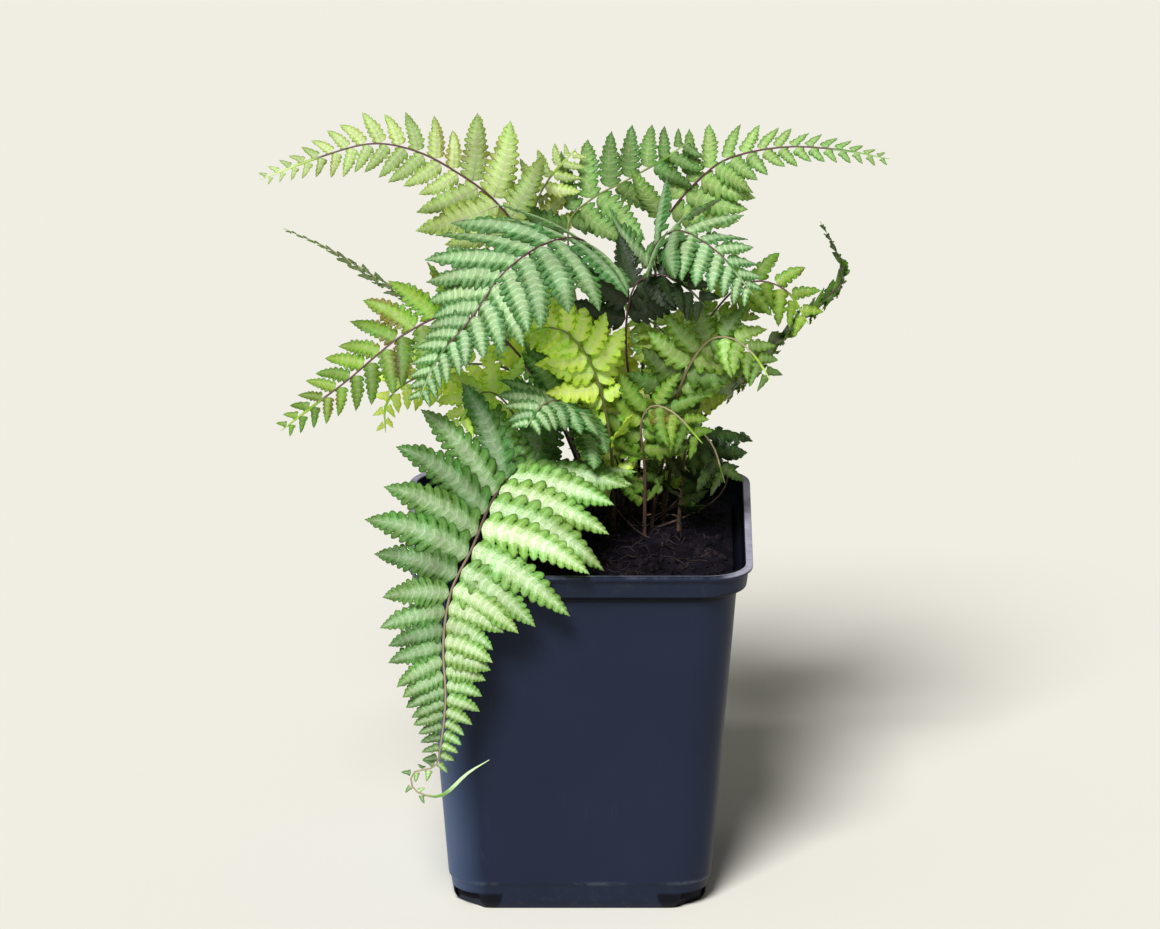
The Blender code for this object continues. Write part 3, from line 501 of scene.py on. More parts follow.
def makeSoil():
    half = pot["bodyTop"] - pot["wall"] - soil["gap"] + 0.5
    radius = pot["corner"] - 1.4
    bm = bmesh.new()
    bmesh.ops.create_grid(bm, x_segments=soil["cells"], y_segments=soil["cells"], size=half)
    rim = [e for e in bm.edges if e.is_boundary]
    for vert in bm.verts:
        x, y = vert.co.xy
        reach = max(abs(x), abs(y), 1e-6)
        edge = Vector((x, y)) * half / reach
        inner = Vector([min(max(c, radius - half), half - radius) for c in edge])
        if (edge - inner).length > radius:  # in a corner the square is drawn in to its round edge
            edge = inner + (edge - inner).normalized() * radius
        x, y = edge * reach / half
        rough = min(1, (half - reach) / soil["plainRim"])  # plain and a little lower along the wall
        vert.co = (x, y, roughSoil(x, y) * rough + (soilHeight(x, y) - soil["rimSunk"]) * (1 - rough))
    shrink = (pot["foot"] + 0.2) / half
    for vert in newVerts(bmesh.ops.extrude_edge_only(bm, edges=rim)):
        vert.co = (vert.co.x * shrink, vert.co.y * shrink, pot["floor"] + soil["gap"])
    bmesh.ops.contextual_create(bm, geom=[e for e in bm.edges if e.is_boundary])
    bmesh.ops.recalc_face_normals(bm, faces=bm.faces)
    addPiece("soilBed", bm, [dryMaterial("pottingSoil")], "potting_soil", "soil", sharp=75)


def soilSpot(rng, margin):
    half = pot["bodyTop"] - pot["wall"] - margin
    corner = 9
    while True:
        x, y = rng.uniform(-half, half), rng.uniform(-half, half)
        if math.hypot(max(abs(x) - half + corner, 0), max(abs(y) - half + corner, 0)) < corner:
            return x, y


def makeCrumbs():
    rng = random.Random(soil["seed"])
    least, most = crumbs["size"]
    bm = bmesh.new()
    for k in range(crumbs["count"]):
        x, y = soilSpot(rng, crumbs["margin"])
        size = least + (most - least) * rng.random() ** crumbs["small"]
        turn = Matrix.Rotation(rng.uniform(0, fullTurn), 4, (rng.uniform(-1, 1), rng.uniform(-1, 1), 1))
        stretch = Matrix.Diagonal((rng.uniform(0.7, 1.5), rng.uniform(0.6, 1.1), rng.uniform(0.5, 0.9), 1))
        fineness = 2 if size > crumbs["fine"] else 1
        made = bmesh.ops.create_icosphere(bm, subdivisions=fineness, radius=size)["verts"]
        for vert in made:
            vert.co *= 1 + crumbs["knobs"] * noise.noise(vert.co * 1.4 / size + Vector((k * 3.1, 0, 0)))
        place = Matrix.Translation((x, y, roughSoil(x, y) + 0.25 * size))
        bmesh.ops.transform(bm, matrix=place @ turn @ stretch, verts=made)
    addPiece("soilCrumbs", bm, [dryMaterial("soilCrumb")], "potting_soil", sharp=50)


def makeFibres():
    # roots and peat fibres that lie on the soil
    rng = random.Random(soil["seed"] + 1)
    steps, within, wobble = fibres["steps"], fibres["within"], fibres["wobble"]
    radii = [fibres["thin"] + fibres["thick"] * math.sin(math.pi * (0.12 + 0.8 * s / steps))
             for s in range(steps + 1)]
    bm = bmesh.new()
    for _ in range(fibres["count"]):
        x, y = soilSpot(rng, fibres["margin"])
        heading = rng.uniform(0, fullTurn)
        turn = rng.uniform(-fibres["turn"], fibres["turn"])
        length = rng.uniform(*fibres["length"])
        rise = rng.uniform(*fibres["rise"])
        path = []
        for step in range(steps + 1):
            path.append((x, y, roughSoil(x, y) + 0.15 + rise * math.sin(math.pi * (step / steps))))
            heading += turn + rng.uniform(-wobble, wobble)
            x, y = [min(max(c, -within), within) for c in (x + math.cos(heading) * length / steps,
                                                          y + math.sin(heading) * length / steps)]
        addTube(bm, path, radii, 4)
    addPiece("soilFibres", bm, [dryMaterial("peatFibre")], "potting_soil")


crown = dict(ends=((3.5, 13.5), (16.5, 23.2)), radius=2.5, sunk=0.2, knobs=0.12, seed=11,
             stubs=6, stubHeight=(5.0, 10.0), stubRadius=0.85, stubLean=0.2, stubTurn=2.4, stubSteps=9,
             scales=150, scaleLength=(1.2, 3.2))
bark = dict(dark=(0.022, 0.013, 0.008), light=(0.17, 0.105, 0.06), dusty=(0.10, 0.085, 0.075))


def makeCrown():
    # the knobbly rhizome, as in the frame, with stumps of old stalks and a coat of dry scales
    ends = [Vector((x, y, soilHeight(x, y) - crown["sunk"])) for x, y in crown["ends"]]
    way = ends[1] - ends[0]
    turn = way.to_track_quat("X", "Z").to_matrix()
    bm = bmesh.new()
    bmesh.ops.create_icosphere(bm, subdivisions=5, radius=1.0)
    for vert in bm.verts:
        knobs = noise.noise(vert.co * 1.9) + 0.5 * noise.noise(vert.co * Vector((9, 4, 4)))
        thick = crown["radius"] * (1 + crown["knobs"] * knobs)
        vert.co *= Vector((way.length / 2, thick, thick))
        vert.co = (ends[0] + ends[1]) / 2 + turn @ vert.co
    rng = random.Random(crown["seed"])
    steps = crown["stubSteps"]
    for k in range(crown["stubs"]):
        share = (k + 0.5) / crown["stubs"]
        x, y = [a + (b - a) * share for a, b in zip(*crown["ends"])]
        tall = rng.uniform(*crown["stubHeight"]) * (0.6 + 0.4 * math.sin(math.pi * share)) + crown["radius"]
        heading = crown["stubTurn"] * k
        lean = Vector((math.cos(heading), math.sin(heading), 0)) * crown["stubLean"]
        foot = Vector((x, y, soilHeight(x, y)))
        path = [foot + (lean + Vector((0, 0, 1))) * tall * s / steps for s in range(steps + 1)]
        radii = [crown["stubRadius"] * (1.15 - 0.25 * s / steps)
                 * (1 + 0.12 * noise.noise((k * 5.0, s * 0.9, 0))) for s in range(steps + 1)]
        radii[-1] *= 0.7
        addTube(bm, path, radii, 9)
    rng = random.Random(crown["seed"] + 1)
    for _ in range(crown["scales"]):
        share, angle = rng.uniform(0.06, 0.94), rng.uniform(-1.5, 1.5)
        middle = ends[0] + way * share
        out = turn @ Vector((0, math.sin(angle), math.cos(angle)))
        reach = crown["radius"] * math.sqrt(max(0.05, 1 - (2 * share - 1) ** 2))
        addScale(bm, middle + out * reach * 0.92, out, rng, rng.uniform(*crown["scaleLength"]), 0)
    addPiece("rhizomeBark", bm, [barkMaterial()], "rhizome_bark", "crown", sharp=60)


dryStems = dict(count=16, x=(2, 26), y=(2, 22), length=(14, 34), lean=(0.3, 1.3), bend=0.3, radius=0.34,
                thinner=0.5, knobs=0.2, steps=11, seed=17)


def makeDryStems():
    # thin old stalks that lean across one another at the foot of the tuft
    rng = random.Random(dryStems["seed"])
    steps = dryStems["steps"]
    bm = bmesh.new()
    for _ in range(dryStems["count"]):
        x, y = rng.uniform(*dryStems["x"]), rng.uniform(*dryStems["y"])
        heading, lean = rng.uniform(0, fullTurn), rng.uniform(*dryStems["lean"])
        bend = Vector([rng.uniform(-1, 1) * dryStems["bend"] for _ in range(3)])
        way = Vector((math.cos(heading) * lean, math.sin(heading) * lean, 1)).normalized()
        length = rng.uniform(*dryStems["length"])
        foot = Vector((x, y, soilHeight(x, y) - 1))
        path, radii = [], []
        for s in range(steps + 1):
            path.append(foot + (way * s / steps + bend * math.sin(math.pi * s / steps)) * length)
            radii.append(dryStems["radius"] * (1 - dryStems["thinner"] * s / steps)
                         * (1 + dryStems["knobs"] * noise.noise((x, y, s * 0.8))))
        addTube(bm, path, radii, 6)
    addPiece("dryStems", bm, [dryMaterial("dryStem")], "rhizome_bark", sharp=60)


scale = dict(stations=(0, 0.35, 0.7, 1), radii=(0.16, 0.24, 0.17, 0.02), flat=0.25, sides=4)


def addScale(bm, root, out, rng, length, finish, tint=0.0):
    # a dry papery scale: a narrow flat tube with a pointed tip
    tilt = Vector((rng.uniform(-1, 1), rng.uniform(-1, 1), rng.uniform(0.2, 1.6)))
    way = (Vector(out) * 0.55 + tilt * 0.5).normalized()
    bend = Vector((rng.uniform(-0.4, 0.4), rng.uniform(-0.4, 0.4), rng.uniform(-0.5, 0.1)))
    path = [Vector(root) + way * length * t + bend * length * t * t for t in scale["stations"]]
    over = np.array(unit(np.cross(np.cross(way, out) + 1e-6, way)))
    side = np.cross(np.array(way), over)
    frames = [(over * scale["flat"], side)] * len(path)
    addTube(bm, path, scale["radii"], scale["sides"], frames, finish, [tint] * len(path))


def dryMaterial(name):
    look = soilLooks[name]
    f = Finish(name, 0.9, shine=0.12)
    clods, grain = f.noise(170, 5, 0.7), f.noise(1500, 3, 0.7)
    colour = f.mix(f.ramp(clods, 0.35, 0.7), look["dark"], look["light"])
    colour = f.mix(f.ramp(grain, 0.62, 0.74), colour, look["speck"])
    f.give({"Base Color": colour, "Roughness": f.ramp(clods, 0.35, 0.65, look["wet"], 0.95)})
    f.emboss(f.line(clods, 2, grain), 0.8, 0.0004)
    return f.material


def barkMaterial():
    f = Finish("rhizomeBark", 0.85)
    fibre = f.noise(1, 3, at=f.stretched((900, 900, 160)))
    colour = f.mix(f.ramp(fibre, 0.35, 0.68), bark["dark"], bark["light"])
    f.give({"Base Color": f.mix(f.ramp(f.noise(260, 3), 0.5, 0.72), colour, bark["dusty"])})
    f.emboss(fibre, 0.7, 0.0003)
    return f.material


# the fronds: where they go

# what most fronds share, and what the young ones in the tuft's middle share
usual = dict(lift=(5,), droop=0.12, crowd=(1,), roll=(0,))
young = dict(bare=0.42, lean=(72, 62, 56), lift=(4,), droop=0.1, crowd=(0.88,), roll=(-46, -34))
frondPlans = {
    "front_fall": dict(
        route=[(-1, 13, 92), (-4, 5, 105), (-10, -8, 114), (-17, -22, 118), (-23, -35, 114), (-28, -46, 105),
               (-33.5, -52, 95), (-35.5, -55, 82), (-35, -54, 66), (-36.5, -50, 51), (-38, -47, 45),
               (-43.5, -46, 43), (-44, -46, 39.5), (-42, -46.5, 37.4), (-36, -47, 37), (-29.5, -47, 43),
               (-23.7, -47.5, 47)],
        bare=0.15, face=((0.1, -0.3, 1), (0.4, -0.6, 0.6), (0.2, -1, 0.3), (0, -1, 0.1), (0, -1, 0)),
        long=(25, 26, 29, 33, 32.5, 19, 13.5, 11, 6, 3.5, 2, 1.8, 1.8), lean=(120, 112, 92, 80, 72, 66, 62),
        lift=(36, 22, 10, 4, 2), droop=0.1, crowd=(0.7, 0.68, 0.68, 0.68, 0.74, 0.8, 0.95, 1.1, 1.3),
        roll=(-64, -50, -16, 0, 0, 0, 0)),
    "silver_centre": dict(
        route=[(11, 13, 92), (11, 13, 121), (7, 8, 147), (5, 3, 163), (1, -6, 176), (-9, -18, 179),
               (-20, -28, 174), (-28, -34, 164), (-37, -38, 154), (-42, -40, 143)],
        bare=0.53, face=((0, -0.4, 1), (-0.2, -0.6, 0.8), (-0.4, -0.7, 0.6)),
        long=(25, 28, 24, 17, 11, 7, 3), lean=(86, 74, 66, 60, 54), lift=(4,), crowd=(0.7, 0.85)),
    "arch_left": dict(
        route=[(1, 16, 92), (-3, 15, 120), (-10, 13, 150), (-14, 12, 169), (-22, 12, 181), (-32, 12, 189),
               (-43, 12, 195), (-55, 12, 197), (-70, 11, 193), (-84, 9, 188)],
        bare=0.51, face=((0.1, -1, 0.5), (0, -0.9, 0.5)),
        long=(17, 22, 19, 10, 11, 9.5, 8, 6.5, 4.5, 3, 1.5), lean=(78, 66, 66, 64, 58, 52), droop=0.06),
    "arch_right": dict(
        route=[(17, 18, 92), (19, 21, 123), (20, 21, 151), (20, 19, 168), (24, 17, 177), (31, 15, 186),
               (39, 12, 193), (53, 9, 197), (67, 7, 197), (81, 5, 195)],
        bare=0.53, face=((0.2, -1, 0.4), (0, -0.7, 0.7), (0, -0.5, 0.9)),
        long=(17, 17, 15, 12, 9, 7, 6, 5, 4, 3, 1.5), lean=(72, 62, 58, 54, 48), lift=(6,), droop=0.08),
    "left_reach": dict(
        route=[(4, 9, 92), (-3, 1, 119), (-13, -7, 141), (-24, -14, 155), (-35, -20, 160), (-46, -24, 156),
               (-53, -26, 151), (-60, -27, 145), (-68, -28, 139), (-78, -28, 131)],
        bare=0.56, face=((-0.1, -0.8, 0.6), (0, -0.9, 0.4)), long=(15, 15, 14, 12, 10, 8, 6, 4, 2),
        lean=(78, 66, 58, 50), droop=0.08),
    "silver_front": dict(
        route=[(8, 9, 92), (6, 6, 111), (1, -2, 126), (-5, -12, 134), (-10, -22, 136), (-14, -31, 133)],
        bare=0.46, face=((0, -0.4, 1), (0, -0.7, 0.7)), long=(20, 20, 17, 12, 7, 3), lean=(84, 72, 62, 56),
        lift=(2,), crowd=(0.78,), roll=(-50, -44, -30)),
    "silver_right": dict(
        route=[(15, 11, 92), (16, 9, 122), (17, 4, 151), (19, -3, 172), (25, -10, 180), (32, -16, 179),
               (38, -20, 175), (45, -24, 167)],
        bare=0.6, face=((0, -0.5, 1), (0.4, -0.7, 0.5)), long=(19, 20, 16, 12, 8, 3), lean=(80, 70, 62, 56),
        lift=(3,), crowd=(1, 0.9, 0.8)),
    "upswept": dict(
        route=[(21, 21, 92), (25, 22, 109), (32, 21, 118), (44, 18, 131), (55, 16, 144), (65, 14, 154),
               (69, 13, 160), (67, 12, 168), (63, 11, 176)],
        bare=0.36, face=((-0.8, 0.45, 0.6), (-0.9, -0.2, 0.1)), long=(12, 13, 11, 9, 6, 4, 1.5),
        lean=(66, 58, 50), lift=(14,), droop=-0.08),
    "mid_right": dict(
        route=[(19, 15, 92), (23, 15, 117), (29, 12, 140), (37, 9, 154), (43, 7, 160), (49, 6, 161),
               (55, 5, 158), (60, 4, 150)],
        bare=0.5, face=((0, -0.9, 0.5), (0.3, -0.9, 0.3)), long=(11, 11, 10, 9, 8, 4), lean=(78, 70, 62),
        lift=(6,), droop=0.08),
    "top_mid": dict(
        route=[(10, 24, 92), (5, 29, 121), (-1, 29, 148), (-3, 25, 170), (3, 21, 179), (12, 18, 185),
               (21, 16, 191), (29, 15, 197)],
        bare=0.62, face=((-0.2, -1, 0.3), (0, -1, 0.3)), long=(14, 16, 16, 14, 9, 3), lean=(80, 68, 58),
        droop=0.05),
    "top_pale": dict(
        route=[(6, 28, 92), (1, 33, 119), (-7, 33, 147), (-12, 29, 170), (-9, 25, 182), (-1, 21, 193)],
        bare=0.66, face=((0, -1, 0.4), (0, -1, 0.2)), long=(15, 14, 11, 7, 2), lean=(72, 62, 52),
        droop=0.05),
    "left_twig": dict(
        route=[(3, 24, 92), (-5, 26, 116), (-18, 28, 135), (-32, 28, 145), (-45, 27, 151), (-54, 26, 156),
               (-66, 25, 164), (-78, 24, 170)],
        bare=0.52, face=((0.3, 0.5, 0.9),), long=(9, 9, 8, 6, 4, 2, 1.5), lean=(66, 56, 48), droop=0.05),
    "lime_left": dict(
        route=[(-2, 20, 92), (-6, 14, 110), (-16, 7, 134), (-27, 4, 139), (-39, 0, 138), (-47, -3, 135),
               (-51, -4, 130), (-51, -5, 123)],
        bare=0.48, face=((0, -0.9, 0.5), (-0.5, -0.8, 0.1)), long=(11, 11, 10, 8, 4, 2), lean=(74, 64, 56)),
    "mid_low": dict(
        route=[(19, 7, 92), (23, 1, 119), (27, -6, 138), (33, -12, 150), (39, -17, 153), (45, -21, 150),
               (50, -24, 143)],
        bare=0.46, face=((0.2, -0.8, 0.6), (0.5, -0.8, 0.3)), long=(14, 14, 12, 10, 7, 3), lean=(78, 68, 58),
        lift=(4,), droop=0.16, crowd=(0.9,), roll=(-38, -24)),
    "dark_right": dict(
        route=[(13, 6, 92), (14, 3, 121), (12, -6, 149), (14, -12, 165), (20, -16, 170), (27, -19, 168),
               (33, -22, 163)],
        bare=0.62, face=((0.1, -0.8, 0.8), (0.2, -0.9, 0.5)), long=(15, 15, 12, 8, 4), lean=(72, 62, 56),
        lift=(4,), crowd=(0.9,), roll=(-38, -24)),
    "low_right": dict(
        route=[(26, 5, 92), (27, 3, 106), (28, 0, 118), (31, -4, 123), (35, -8, 120), (38, -11, 111)],
        bare=0.3, face=((-0.5, -0.7, 0.6), (0.2, -0.8, 0.8), (0.9, -0.5, 0.1)), long=(15, 16, 14, 10, 4),
        lean=(76, 66, 58), lift=(4,), droop=0.14),
    "low_mid": dict(
        route=[(17, 1, 92), (17, -3, 112), (16, -8, 126), (19, -13, 133), (25, -17, 132), (32, -20, 125)],
        bare=0.36, face=((-0.3, -0.9, 0.5), (0.2, -0.9, 0.5), (0.5, -0.8, 0.2)), long=(13, 14, 12, 8, 4),
        lean=(80, 70, 60), lift=(4,), crowd=(0.88,), roll=(-40, -26)),
    "lime_front": dict(
        route=[(-5, 17, 92), (-12, 7, 112), (-18, -5, 129), (-23, -14, 137), (-28, -20, 137),
               (-32, -25, 130)],
        bare=0.4, face=((-0.2, -0.8, 0.7), (-0.4, -0.9, 0.2)), long=(12, 13, 12, 9, 3), lean=(74, 66, 58),
        lift=(4,), droop=0.14, crowd=(0.88,), roll=(-46, -34)),
    "lime_mid": dict(
        route=[(9, 4, 92), (8, -4, 120), (4, -10, 141), (-2, -14, 152), (-8, -18, 156), (-15, -22, 155)],
        **young, face=((0, -0.9, 0.5), (-0.2, -0.9, 0.4)), long=(13, 14, 12, 8, 3)),
    "lime_centre": dict(
        route=[(14.5, 15, 92), (13, 8, 118), (9, 0, 136), (3, -4, 147), (-4, -5, 150), (-10, -6, 147)],
        **young, face=((0, -0.9, 0.5), (-0.2, -0.9, 0.3)), long=(13, 13, 11, 7, 3)),
    "lime_right": dict(
        route=[(22, 11, 92), (25, 8, 116), (27, 4, 134), (24, 0, 146), (18, -2, 153), (12, -3, 154)],
        **young, face=((0, -0.9, 0.5), (-0.1, -0.9, 0.3)), long=(13, 13, 11, 7, 3)),
    "lime_high": dict(
        route=[(7, 20.5, 92), (0, 16, 118), (-6, 12, 140), (-9, 8, 152), (-9, 3, 160), (-7, -2, 164)],
        **young, face=((0, -0.9, 0.5), (0.1, -0.9, 0.4)), long=(12, 12, 10, 7, 3)),
    "back_left": dict(
        route=[(2, 31, 92), (-4, 42, 117), (-10, 53, 134), (-16, 65, 140), (-20, 77, 136), (-22, 87, 127)],
        bare=0.36, face=((0, 0.2, 1), (0, 0.8, 0.7)), long=(22, 22, 18, 13, 8, 3), lean=(76, 68, 60)),
    "back_right": dict(
        route=[(18, 31, 92), (24, 43, 116), (29, 54, 130), (34, 65, 134), (38, 76, 129)],
        bare=0.36, face=((0.1, 0.2, 1), (0.2, 0.8, 0.7)), long=(20, 20, 16, 11, 7, 3), lean=(76, 68, 60)),
    "back_fall": dict(
        route=[(12, 32, 92), (10, 44, 108), (8, 56, 114), (7, 66, 108), (6, 73, 96), (6, 76, 83)],
        bare=0.32, face=((0, 0.2, 1), (0, 1, 0.1)), long=(17, 17, 14, 10, 6, 2), lean=(76, 68, 60),
        droop=0.08),
    "young_low": dict(
        route=[(-5, 6, 92), (-7, 1, 100), (-6, -5, 105), (-3, -10, 104), (0, -14, 99)],
        bare=0.34, face=((0, -0.8, 0.7), (0, -0.9, 0.3)), long=(6, 6, 4.5, 2.5), lean=(70, 60), lift=(4,),
        droop=0.1),
}

# forward, sag and a frond's droop bend its pinnae; lengths, leans, lifts and rolls are drawn for each one,
# and extraLifts and shrinks are tried in turn until it is clear of everything
growth = dict(step=0.5, upright=12, stalkDepth=7.5, stalkRadius=0.85, tipRadius=0.4, bareTip=1.0,
              gap=2.9, gapGrowth=0.215, share=0.5, widestShare=0.52, stagger=0.16, sampleStep=1.6,
              forward=0.16, sag=0.06, halfWidth=0.18, widestAt=0.2, rootWidth=0.5, taper=0.8,
              lengths=(0.93, 1.05), leans=(-3, 3), lifts=(-3, 3), rolls=(4, 12), seed=11,
              extraLifts=(0, 11, -11, 22, -22, 33, -33, 46, -46), shrinks=(1.0, 0.85, 0.7, 0.52),
              clearOther=2.1, clearOwn=1.6, clearPot=1.4, clearGround=3)


def smoothRoute(points):
    # a dense line through the points that leaves the soil upright
    p = np.array(points, float)
    p[0, 2] = soilHeight(p[0, 0], p[0, 1]) + 1.0
    p = np.vstack([p[0] - (0, 0, growth["upright"]), p, 2 * p[-1] - p[-2]])
    line = [p[1]]
    for a, b, c, d in zip(p, p[1:], p[2:], p[3:]):
        steps = max(2, int(np.linalg.norm(c - b) / growth["step"]))
        for t in np.linspace(0, 1, steps + 1)[1:]:
            line.append(0.5 * (2 * b + (c - a) * t + (2 * a - 5 * b + 4 * c - d) * t * t
                               + (3 * b - a - 3 * c + d) * t ** 3))
    line = np.array(line)
    run = np.concatenate([[0], np.cumsum(np.linalg.norm(np.diff(line, axis=0), axis=1))])
    return line, run


def alongBlade(values, share):
    place = share * (len(values) - 1)
    k = int(place)
    following = values[min(k + 1, len(values) - 1)]
    return values[k] + (following - values[k]) * (place - k)


class Rib:
    def __init__(self, plan):
        self.line, self.run = smoothRoute(plan["route"])
        self.length = self.run[-1]
        self.start = plan["bare"] * self.length
        self.faces = [unit(np.array(face, float)) for face in plan["face"]]

    def share(self, s):
        return min(max((s - self.start) / (self.length - self.start), 0), 1)

    def point(self, s):
        return np.array([np.interp(s, self.run, self.line[:, k]) for k in range(3)])

    def at(self, s):
        along = unit(self.point(min(s + 1, self.length)) - self.point(max(s - 1, 0)))
        side = unit(np.cross(along, alongBlade(self.faces, self.share(s))))
        return self.point(s), along, side, np.cross(side, along)

    def radius(self, s):
        thinner = growth["tipRadius"] - growth["stalkRadius"]
        return growth["stalkRadius"] + thinner * (s / self.length) ** 0.8


class Leaflet:
    # one pinna; way is 1 on the rib's right and -1 on its left
    def __init__(self, rib, s, way, length, most, lean, lift, roll, droop):
        point, along, side, up = rib.at(s)
        self.way = way
        self.station = s
        self.length = length
        self.wide = min(growth["halfWidth"] * length, most)
        self.room = most
        self.root = point + side * way * rib.radius(s)
        lean, lift, roll = [math.radians(angle) for angle in (lean, lift, roll)]
        out = math.cos(lift) * side * way + math.sin(lift) * up
        above = math.cos(lift) * up - math.sin(lift) * side * way
        self.go = math.cos(lean) * along + math.sin(lean) * out
        self.bend = growth["forward"] * along - droop * above - np.array((0, 0, growth["sag"]))
        across = unit(along - self.go * float(along @ self.go))
        self.across = math.cos(roll) * across + math.sin(roll) * above

    def frame(self, t):
        # places, width directions and upper sides at shares t of the length
        t = np.atleast_1d(t)[:, None]
        along = unitRows(self.go + 2 * t * self.bend)
        across = unitRows(self.across - along * (along @ self.across)[:, None])
        places = self.root + self.length * (t * self.go + t * t * self.bend)
        return places, across, np.cross(along, across) * self.way

    def halfWidth(self, t):
        g = growth
        swell = g["rootWidth"] + (1 - g["rootWidth"]) * np.minimum(1, t / g["widestAt"])
        return self.wide * swell * (np.maximum(1 - t, 0) / (1 - g["widestAt"])) ** g["taper"]

    def middleLine(self):
        return self.frame(np.array((0.35, 0.5, 0.65, 0.8, 1.0)))[0]

    def samples(self):
        steps = np.linspace(0, 1, max(3, math.ceil(self.length / growth["sampleStep"])) + 1)[1:]
        found = []
        for t, point, across in zip(steps, *self.frame(steps)[:2]):
            half = self.halfWidth(t)
            for w in np.linspace(-half, half, 2 * math.ceil(half / growth["sampleStep"]) + 1):
                found.append(point + across * w)
        return found


def spotTree(points):
    found = KDTree(len(points))
    for number, point in enumerate(points):
        found.insert(point, number)
    found.balance()
    return found


def clearOfPot(points):
    for x, y, z in points:
        reach = max(abs(x), abs(y))
        if z < growth["clearGround"]:
            return False
        if z > pot["height"] + growth["clearPot"]:
            continue
        foot = pot["foot"] + pot["bandStep"]
        body = foot + (pot["bodyTop"] - foot) * z / pot["collarFrom"]
        outer = body if z < pot["collarFrom"] - growth["clearPot"] else pot["lip"]
        inside = (reach < pot["lip"] - pot["lipWidth"] - growth["clearPot"]
                  and z > soilHeight(x, y) + growth["clearPot"])
        if reach < outer + growth["clearPot"] and not inside:
            return False
    return True


def planPairs(rib, plan):
    # the longer the leaflets, the wider their place on the rib
    ends = [rib.start]
    while ends[-1] < rib.length - growth["gap"]:
        share = rib.share(ends[-1])
        gap = growth["gap"] + growth["gapGrowth"] * alongBlade(plan["long"], share)
        ends.append(ends[-1] + gap * alongBlade(plan["crowd"], share))
    stretch = (rib.length - growth["bareTip"] - rib.start) / (ends[-1] - rib.start)
    return [rib.start + (end - rib.start) * stretch for end in ends]


def apart(leaf, neighbour, least):
    if not neighbour:
        return True
    gaps = leaf.middleLine()[:, None] - neighbour.middleLine()[None]
    return np.sqrt((gaps ** 2).sum(2)).min() > least


def placeLeaflet(rib, s, way, length, gap, lean, lift, roll, droop, neighbour, isClear):
    # bent further or made shorter until it is clear of everything
    for shrink in growth["shrinks"]:
        for extra in growth["extraLifts"]:
            leaf = Leaflet(rib, s, way, length * shrink, growth["widestShare"] * gap, lean, lift + extra,
                           roll, droop)
            if apart(leaf, neighbour, growth["share"] * gap) and isClear(leaf.samples()):
                return leaf
    return None


def planFronds():
    ribs = {name: Rib(plan) for name, plan in frondPlans.items()}
    taken = []
    plans = {}
    for number, (name, plan) in enumerate(frondPlans.items()):
        plan = {**usual, **plan}
        rng = random.Random(growth["seed"] + number)
        rib = ribs[name]
        ends = planPairs(rib, plan)
        stalks = [point for key, other in ribs.items() if key != name for point in other.line[::2]]
        others = spotTree(taken + stalks)
        own = []
        rows = []
        for start, end in zip(ends, ends[1:]):
            share = rib.share((start + end) / 2)
            length, lean, lift, roll = [alongBlade(plan[key], share)
                                        for key in ("long", "lean", "lift", "roll")]
            earlier = spotTree([point for row in own[:-1] for point in row] or [Vector((0, 0, -99))])

            def isClear(points):
                return (clearOfPot(points) and all(others.find(p)[2] > growth["clearOther"] for p in points)
                        and all(earlier.find(p)[2] > growth["clearOwn"] for p in points))

            pair = []
            for way, neighbour in zip((-1, 1), rows[-1] if rows else (None, None)):
                root = start + (end - start) * (0.5 + way * growth["stagger"])
                pair.append(placeLeaflet(rib, root, way, length * rng.uniform(*growth["lengths"]),
                                         end - start, lean + rng.uniform(*growth["leans"]),
                                         lift + rng.uniform(*growth["lifts"]),
                                         roll + rng.uniform(*growth["rolls"]), plan["droop"],
                                         neighbour, isClear))
            own.append([point for leaf in pair if leaf for point in leaf.samples()])
            rows.append(pair)
        taken += [point for row in own for point in row]
        plans[name] = (rib, rows)
    return plans


# the fronds: what they are made of

# pinna moulds by length: pinnules on a side, rows and columns of faces in a pinnule, and how far out the
# undivided wing reaches
pinnaSizes = (
    dict(above=17.0, pinnules=11, rows=6, columns=4, wing=0.36),
    dict(above=10.0, pinnules=9, rows=5, columns=4, wing=0.38),
    dict(above=5.5, pinnules=7, rows=4, columns=2, wing=0.42),
    dict(above=0.0, pinnules=4, rows=3, columns=2, wing=0.6),
)
# the two habits: pinnules that stand close, and the rounder ones of young fronds that stand apart;
# curl, sweep and twist are of the whole pinna, and tones is how much pinnae differ in paleness
pinnaHabits = {
    "close": dict(share=1.0, plump=0.485, waist=0.98, tip=0.74, blunt=0.34, teeth=0.13, ruffle=0.22,
                  curl=(-0.15, 0.06), sweep=0.08, twist=27, tones=0.95),
    "open": dict(share=0.66, plump=0.47, waist=0.62, tip=0.8, blunt=0.34, teeth=0.2, ruffle=0.42,
                 curl=(-0.3, 0.16), sweep=0.12, twist=42, tones=1.3),
}
pinna = dict(variants=3, start=-0.015, tipFrom=0.93, tipSteps=5, tipTeeth=(0.6, 0.95), crowding=1.3,
             angle=(74, 46), reach=(0.88, 1.05), thick=0.26, thinner=0.4, fold=0.16, cup=0.08, quilt=0.06,
             wave=0.022, waves=7, mergeFrom=12.0, rootWidth=0.84, fullFrom=0.3, rounding=(2.6, 0.9),
             weld=0.0004, seed=21)
costa = dict(thick=0.17, thinner=0.75, reach=0.97, stations=(5, 8), longFrom=8, sides=5)


